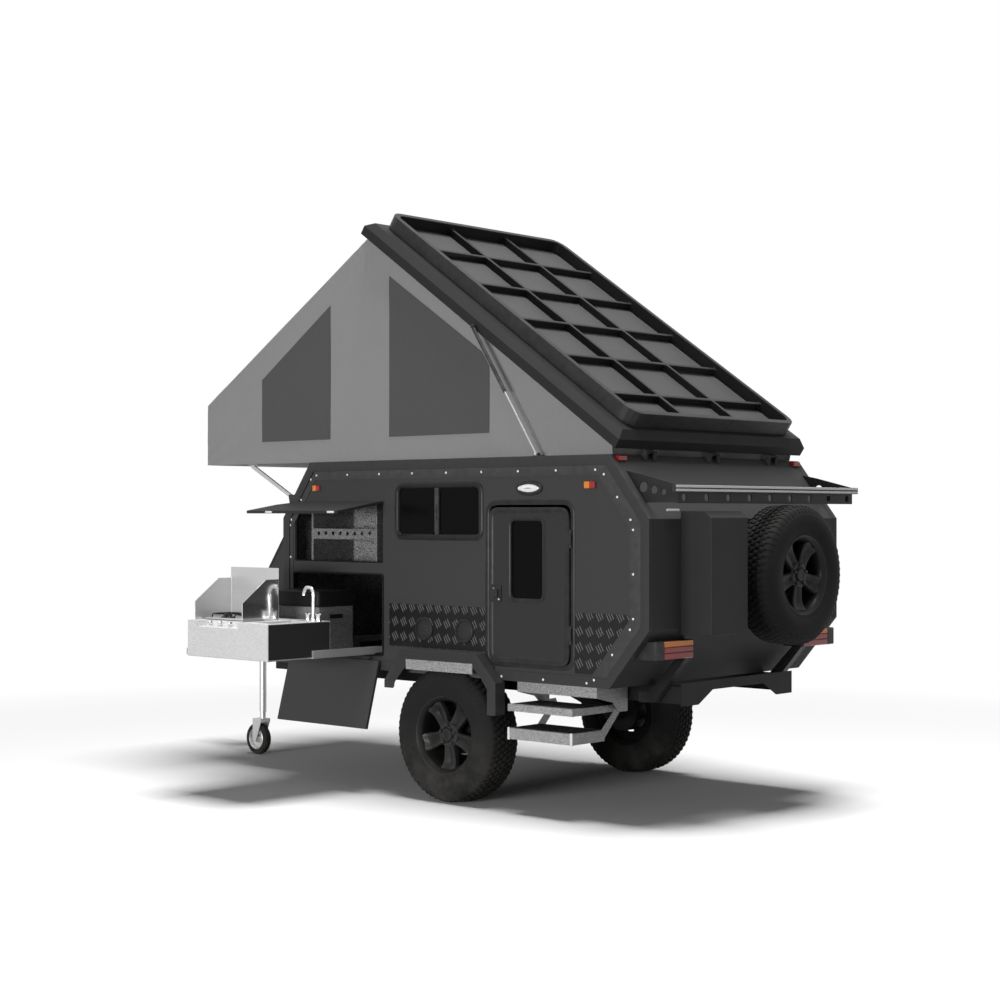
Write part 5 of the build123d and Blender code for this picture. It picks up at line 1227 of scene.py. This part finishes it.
class CAMPER_OT_running_gear(bpy.types.Operator):
    """Chassis, drawbar, coupling, axle arms and jockey wheel"""
    bl_idname = "camper.running_gear"
    bl_label = "Running gear"

    def execute(self, context):
        dress_nodes(
            ("chassis", "chassis black", 2.5),
            ("drawbar", "chassis black", 2.5),
            ("tow_coupling", "bright steel", 1.5),
            ("trailing_arms", "chassis black", 2),
            ("jockey_tube", "bright steel", 1),
            ("jockey_fork", "bright steel", 1),
        )
        return {"FINISHED"}


class CAMPER_OT_front_box(bpy.types.Operator):
    """Storage box on the drawbar and its sloping lid"""
    bl_idname = "camper.front_box"
    bl_label = "Front storage box"

    def execute(self, context):
        dress_nodes(
            ("front_box", "wall", 2),
            ("front_box_lid", "plain plate", 3),
        )
        return {"FINISHED"}


class CAMPER_OT_rear(bpy.types.Operator):
    """Rear storage box, spare carrier, light tray and lamp housings"""
    bl_idname = "camper.rear"
    bl_label = "Rear fittings"

    def execute(self, context):
        dress_nodes(
            # The rear box takes the dark plate finish partly as painted shade, for the shadow of the tray above it.
            ("rear_box", "plain plate", 4),
            ("rear_bumper", "frame black", 3),
            ("rear_tray", "rack black", 1.5),
            ("spare_carrier", "frame black", 2),
        )
        # The rail takes the near-white alloy finish partly as painted light, because its face looks rearward into
        # shade.
        rails = [box(-1641, -1634, -905, 905, 1808, 1822, 2), box(-1641, -1634, -905, 905, 1828, 1843, 2),
                 box(-1639, -1622, -903, 903, 1806, 1844, 1.5)]
        make_piece("tray_rail", rails, FINISH["light alloy"], "trailer")
        catch = [plate(rounded_loop(corners(680, 790, 1702, 1716), 5, 3), -1496, -1484, "yz", 2)]
        make_piece("rear_grab", catch, FINISH["bright steel"], "trailer")
        return {"FINISHED"}


# ---- Floor, light and camera, in metres from the tow ball

FLOOR_Z = -0.69
FLOOR_REACH = 40.0
FLOOR_TONE = (0.2, 0.2, 0.2, 1)
FLOOR_SEEN_TONE = (0.88, 0.88, 0.88, 1)
FLOOR_MIDDLE = (-3.0, 0.5, FLOOR_Z)
FLOOR_WHITE_FROM, FLOOR_WHITE_TO = 3.0, 7.5
SURROUNDING_LIGHT = 0.08
LIGHT_TARGET = (-3.0, 0.3, 0.5)
LIGHT_DISTANCE = 14.0
# Each light's name, the way to it from the target, its width, height and level.
LIGHTS = (
    ("high soft light", (-0.12, 0.0, 1.0), 5.5, 5.5, 1.4),
    ("side soft light", (-0.12, 1.0, 0.03), 7.0, 1.8, 0.68),
    ("rear soft light", (-1.0, -0.1, 0.03), 7.0, 1.8, 0.03),
)
CAMERA_PLACE = (-10.560, 8.628, 1.003)
CAMERA_TURN = -47.7266 - 90.0
CAMERA_LENS = 65.77
CAMERA_SHIFT = 0.0131


def background_rays(tree):
    """1 for the rays that show the background: from the camera, off metal and through glass."""
    path = put(tree, "ShaderNodeLightPath").outputs
    return maths(tree, "MAXIMUM", path["Is Camera Ray"], maths(tree, "MAXIMUM", path["Is Glossy Ray"],
                                                               path["Is Transmission Ray"]))


class CAMPER_OT_stage(bpy.types.Operator):
    """Pale floor, soft lights, white surroundings and the camera"""
    bl_idname = "camper.stage"
    bl_label = "Stage"

    def execute(self, context):
        scene = context.scene
        floor = bpy.data.meshes.new("floor")
        ends = ((-1, -1), (1, -1), (1, 1), (-1, 1))
        floor.from_pydata([(x * FLOOR_REACH, y * FLOOR_REACH, FLOOR_Z) for x, y in ends], [], [(0, 1, 2, 3)])
        ground = bpy.data.objects.new("floor", floor)
        scene.collection.objects.link(ground)
        material = bpy.data.materials.new("pale floor")
        material.use_nodes = True
        tree = material.node_tree
        tree.nodes.clear()
        seen = background_rays(tree)
        tone = blended(tree, seen, FLOOR_TONE, FLOOR_SEEN_TONE)
        spread = put(tree, "ShaderNodeMapRange", {"From Min": FLOOR_WHITE_FROM, "From Max": FLOOR_WHITE_TO})
        away = put(tree, "ShaderNodeVectorMath", operation="DISTANCE")
        tree.links.new(put(tree, "ShaderNodeTexCoord").outputs["Object"], away.inputs[0])
        away.inputs[1].default_value = FLOOR_MIDDLE
        tree.links.new(away.outputs["Value"], spread.inputs["Value"])
        diffuse = put(tree, "ShaderNodeBsdfDiffuse", {"Color": tone})
        white = put(tree, "ShaderNodeEmission", {"Color": (1, 1, 1, 1), "Strength": 1.0})
        mixed = put(tree, "ShaderNodeMixShader", {"Fac": maths(tree, "MULTIPLY", seen, spread.outputs["Result"])})
        tree.links.new(diffuse.outputs[0], mixed.inputs[1])
        tree.links.new(white.outputs[0], mixed.inputs[2])
        tree.links.new(mixed.outputs[0], put(tree, "ShaderNodeOutputMaterial").inputs[0])
        floor.materials.append(material)
        world = bpy.data.worlds.new("white surroundings")
        world.use_nodes = True
        tree = world.node_tree
        tree.nodes.clear()
        seen = background_rays(tree)
        strength = maths(tree, "ADD", SURROUNDING_LIGHT, maths(tree, "MULTIPLY", seen, 1.0 - SURROUNDING_LIGHT))
        back = put(tree, "ShaderNodeBackground", {"Color": (1, 1, 1, 1), "Strength": strength})
        tree.links.new(back.outputs[0], put(tree, "ShaderNodeOutputWorld").inputs[0])
        scene.world = world
        target = np.array(LIGHT_TARGET)
        for name, way, width, height, level in LIGHTS:
            lamp = bpy.data.lights.new(name, "AREA")
            lamp.shape = "RECTANGLE"
            lamp.size = width
            lamp.size_y = height
            lamp.energy = level * (math.pi * LIGHT_DISTANCE) ** 2
            light = bpy.data.objects.new(name, lamp)
            direction = np.array(way) / np.linalg.norm(way)
            light.location = target + direction * LIGHT_DISTANCE
            light.rotation_euler = Vector(-direction).to_track_quat("-Z", "Y").to_euler()
            scene.collection.objects.link(light)
        camera = bpy.data.cameras.new("camera")
        camera.sensor_width = 36.0
        camera.lens = CAMERA_LENS
        camera.shift_y = CAMERA_SHIFT
        eye = bpy.data.objects.new("camera", camera)
        eye.location = CAMERA_PLACE
        eye.rotation_euler = (math.pi / 2, 0.0, math.radians(CAMERA_TURN))
        scene.collection.objects.link(eye)
        scene.camera = eye
        scene.view_settings.view_transform = "Standard"
        return {"FINISHED"}


# ---- The add-on

def measure(name, description, default, low, high):
    """A length that a user may change, in metres."""
    return FloatProperty(name=name, description=description, default=default, min=low, max=high, unit="LENGTH",
                         precision=4)


def paint(name, description, *levels):
    """A colour that a user may change."""
    return FloatVectorProperty(name=name, description=description, default=shade(*levels), subtype="COLOR", size=3,
                               min=0, max=1)


class CamperSizes(bpy.types.PropertyGroup):
    """Sizes that a user may change"""
    tread_depth: measure("Tread depth", "How deep the tyre's grooves are", 0.009, 0.002, 0.014)
    tyre_width: measure("Tyre width", "Width over the tyre's walls", 0.265, 0.2, 0.265)
    rim_diameter: measure("Rim diameter", "Diameter over the rim's lips", 0.451, 0.4, 0.46)
    rivet_size: measure("Rivet size", "Diameter of a rivet's head", 0.014, 0.006, 0.02)


class CamperColours(bpy.types.PropertyGroup):
    """Colours that a user may change"""
    wall: paint("Walls", "Paint of the walls", 60, 60, 61)
    trim: paint("Edge bands", "Paint of the edge bands and fenders", 52, 52, 53)
    door: paint("Door", "Paint of the entry door", 48, 48, 49)
    canvas: paint("Canvas", "Tent cloth", 146, 146, 147)
    canvas_window: paint("Canvas windows", "Dark panels of the tent", 86, 86, 87)


PIECE_TOOLS = (CAMPER_OT_shell, CAMPER_OT_windows, CAMPER_OT_door, CAMPER_OT_lamps, CAMPER_OT_vents, CAMPER_OT_tyres,
               CAMPER_OT_rims,
               CAMPER_OT_lid, CAMPER_OT_tent, CAMPER_OT_platform, CAMPER_OT_bay, CAMPER_OT_kitchen, CAMPER_OT_steps,
               CAMPER_OT_running_gear, CAMPER_OT_front_box, CAMPER_OT_rear)


class CAMPER_PT_panel(bpy.types.Panel):
    """Lists the trailer's pieces and the sizes and colours that they take"""
    bl_idname = "CAMPER_PT_panel"
    bl_label = "Camper trailer"
    bl_space_type = "VIEW_3D"
    bl_region_type = "UI"
    bl_category = "Camper"

    def draw(self, context):
        for owner in (context.scene.camper_sizes, context.scene.camper_colours):
            for name in owner.__annotations__:
                self.layout.prop(owner, name)
        for tool in (CAMPER_OT_stage, *PIECE_TOOLS):
            self.layout.operator(tool.bl_idname)


CLASSES = (CamperSizes, CamperColours, CAMPER_OT_stage, *PIECE_TOOLS, CAMPER_PT_panel)


def register():
    for made in CLASSES:
        bpy.utils.register_class(made)
    bpy.types.Scene.camper_sizes = PointerProperty(type=CamperSizes)
    bpy.types.Scene.camper_colours = PointerProperty(type=CamperColours)


def unregister():
    del bpy.types.Scene.camper_colours
    del bpy.types.Scene.camper_sizes
    for made in reversed(CLASSES):
        bpy.utils.unregister_class(made)


def main():
    """Makes the stage and every piece."""
    register()
    make_finishes(bpy.context.scene.camper_colours)
    for tool in (CAMPER_OT_stage, *PIECE_TOOLS):
        group_name, call = tool.bl_idname.split(".")
        getattr(getattr(bpy.ops, group_name), call)()


if __name__ == "__main__":
    main()
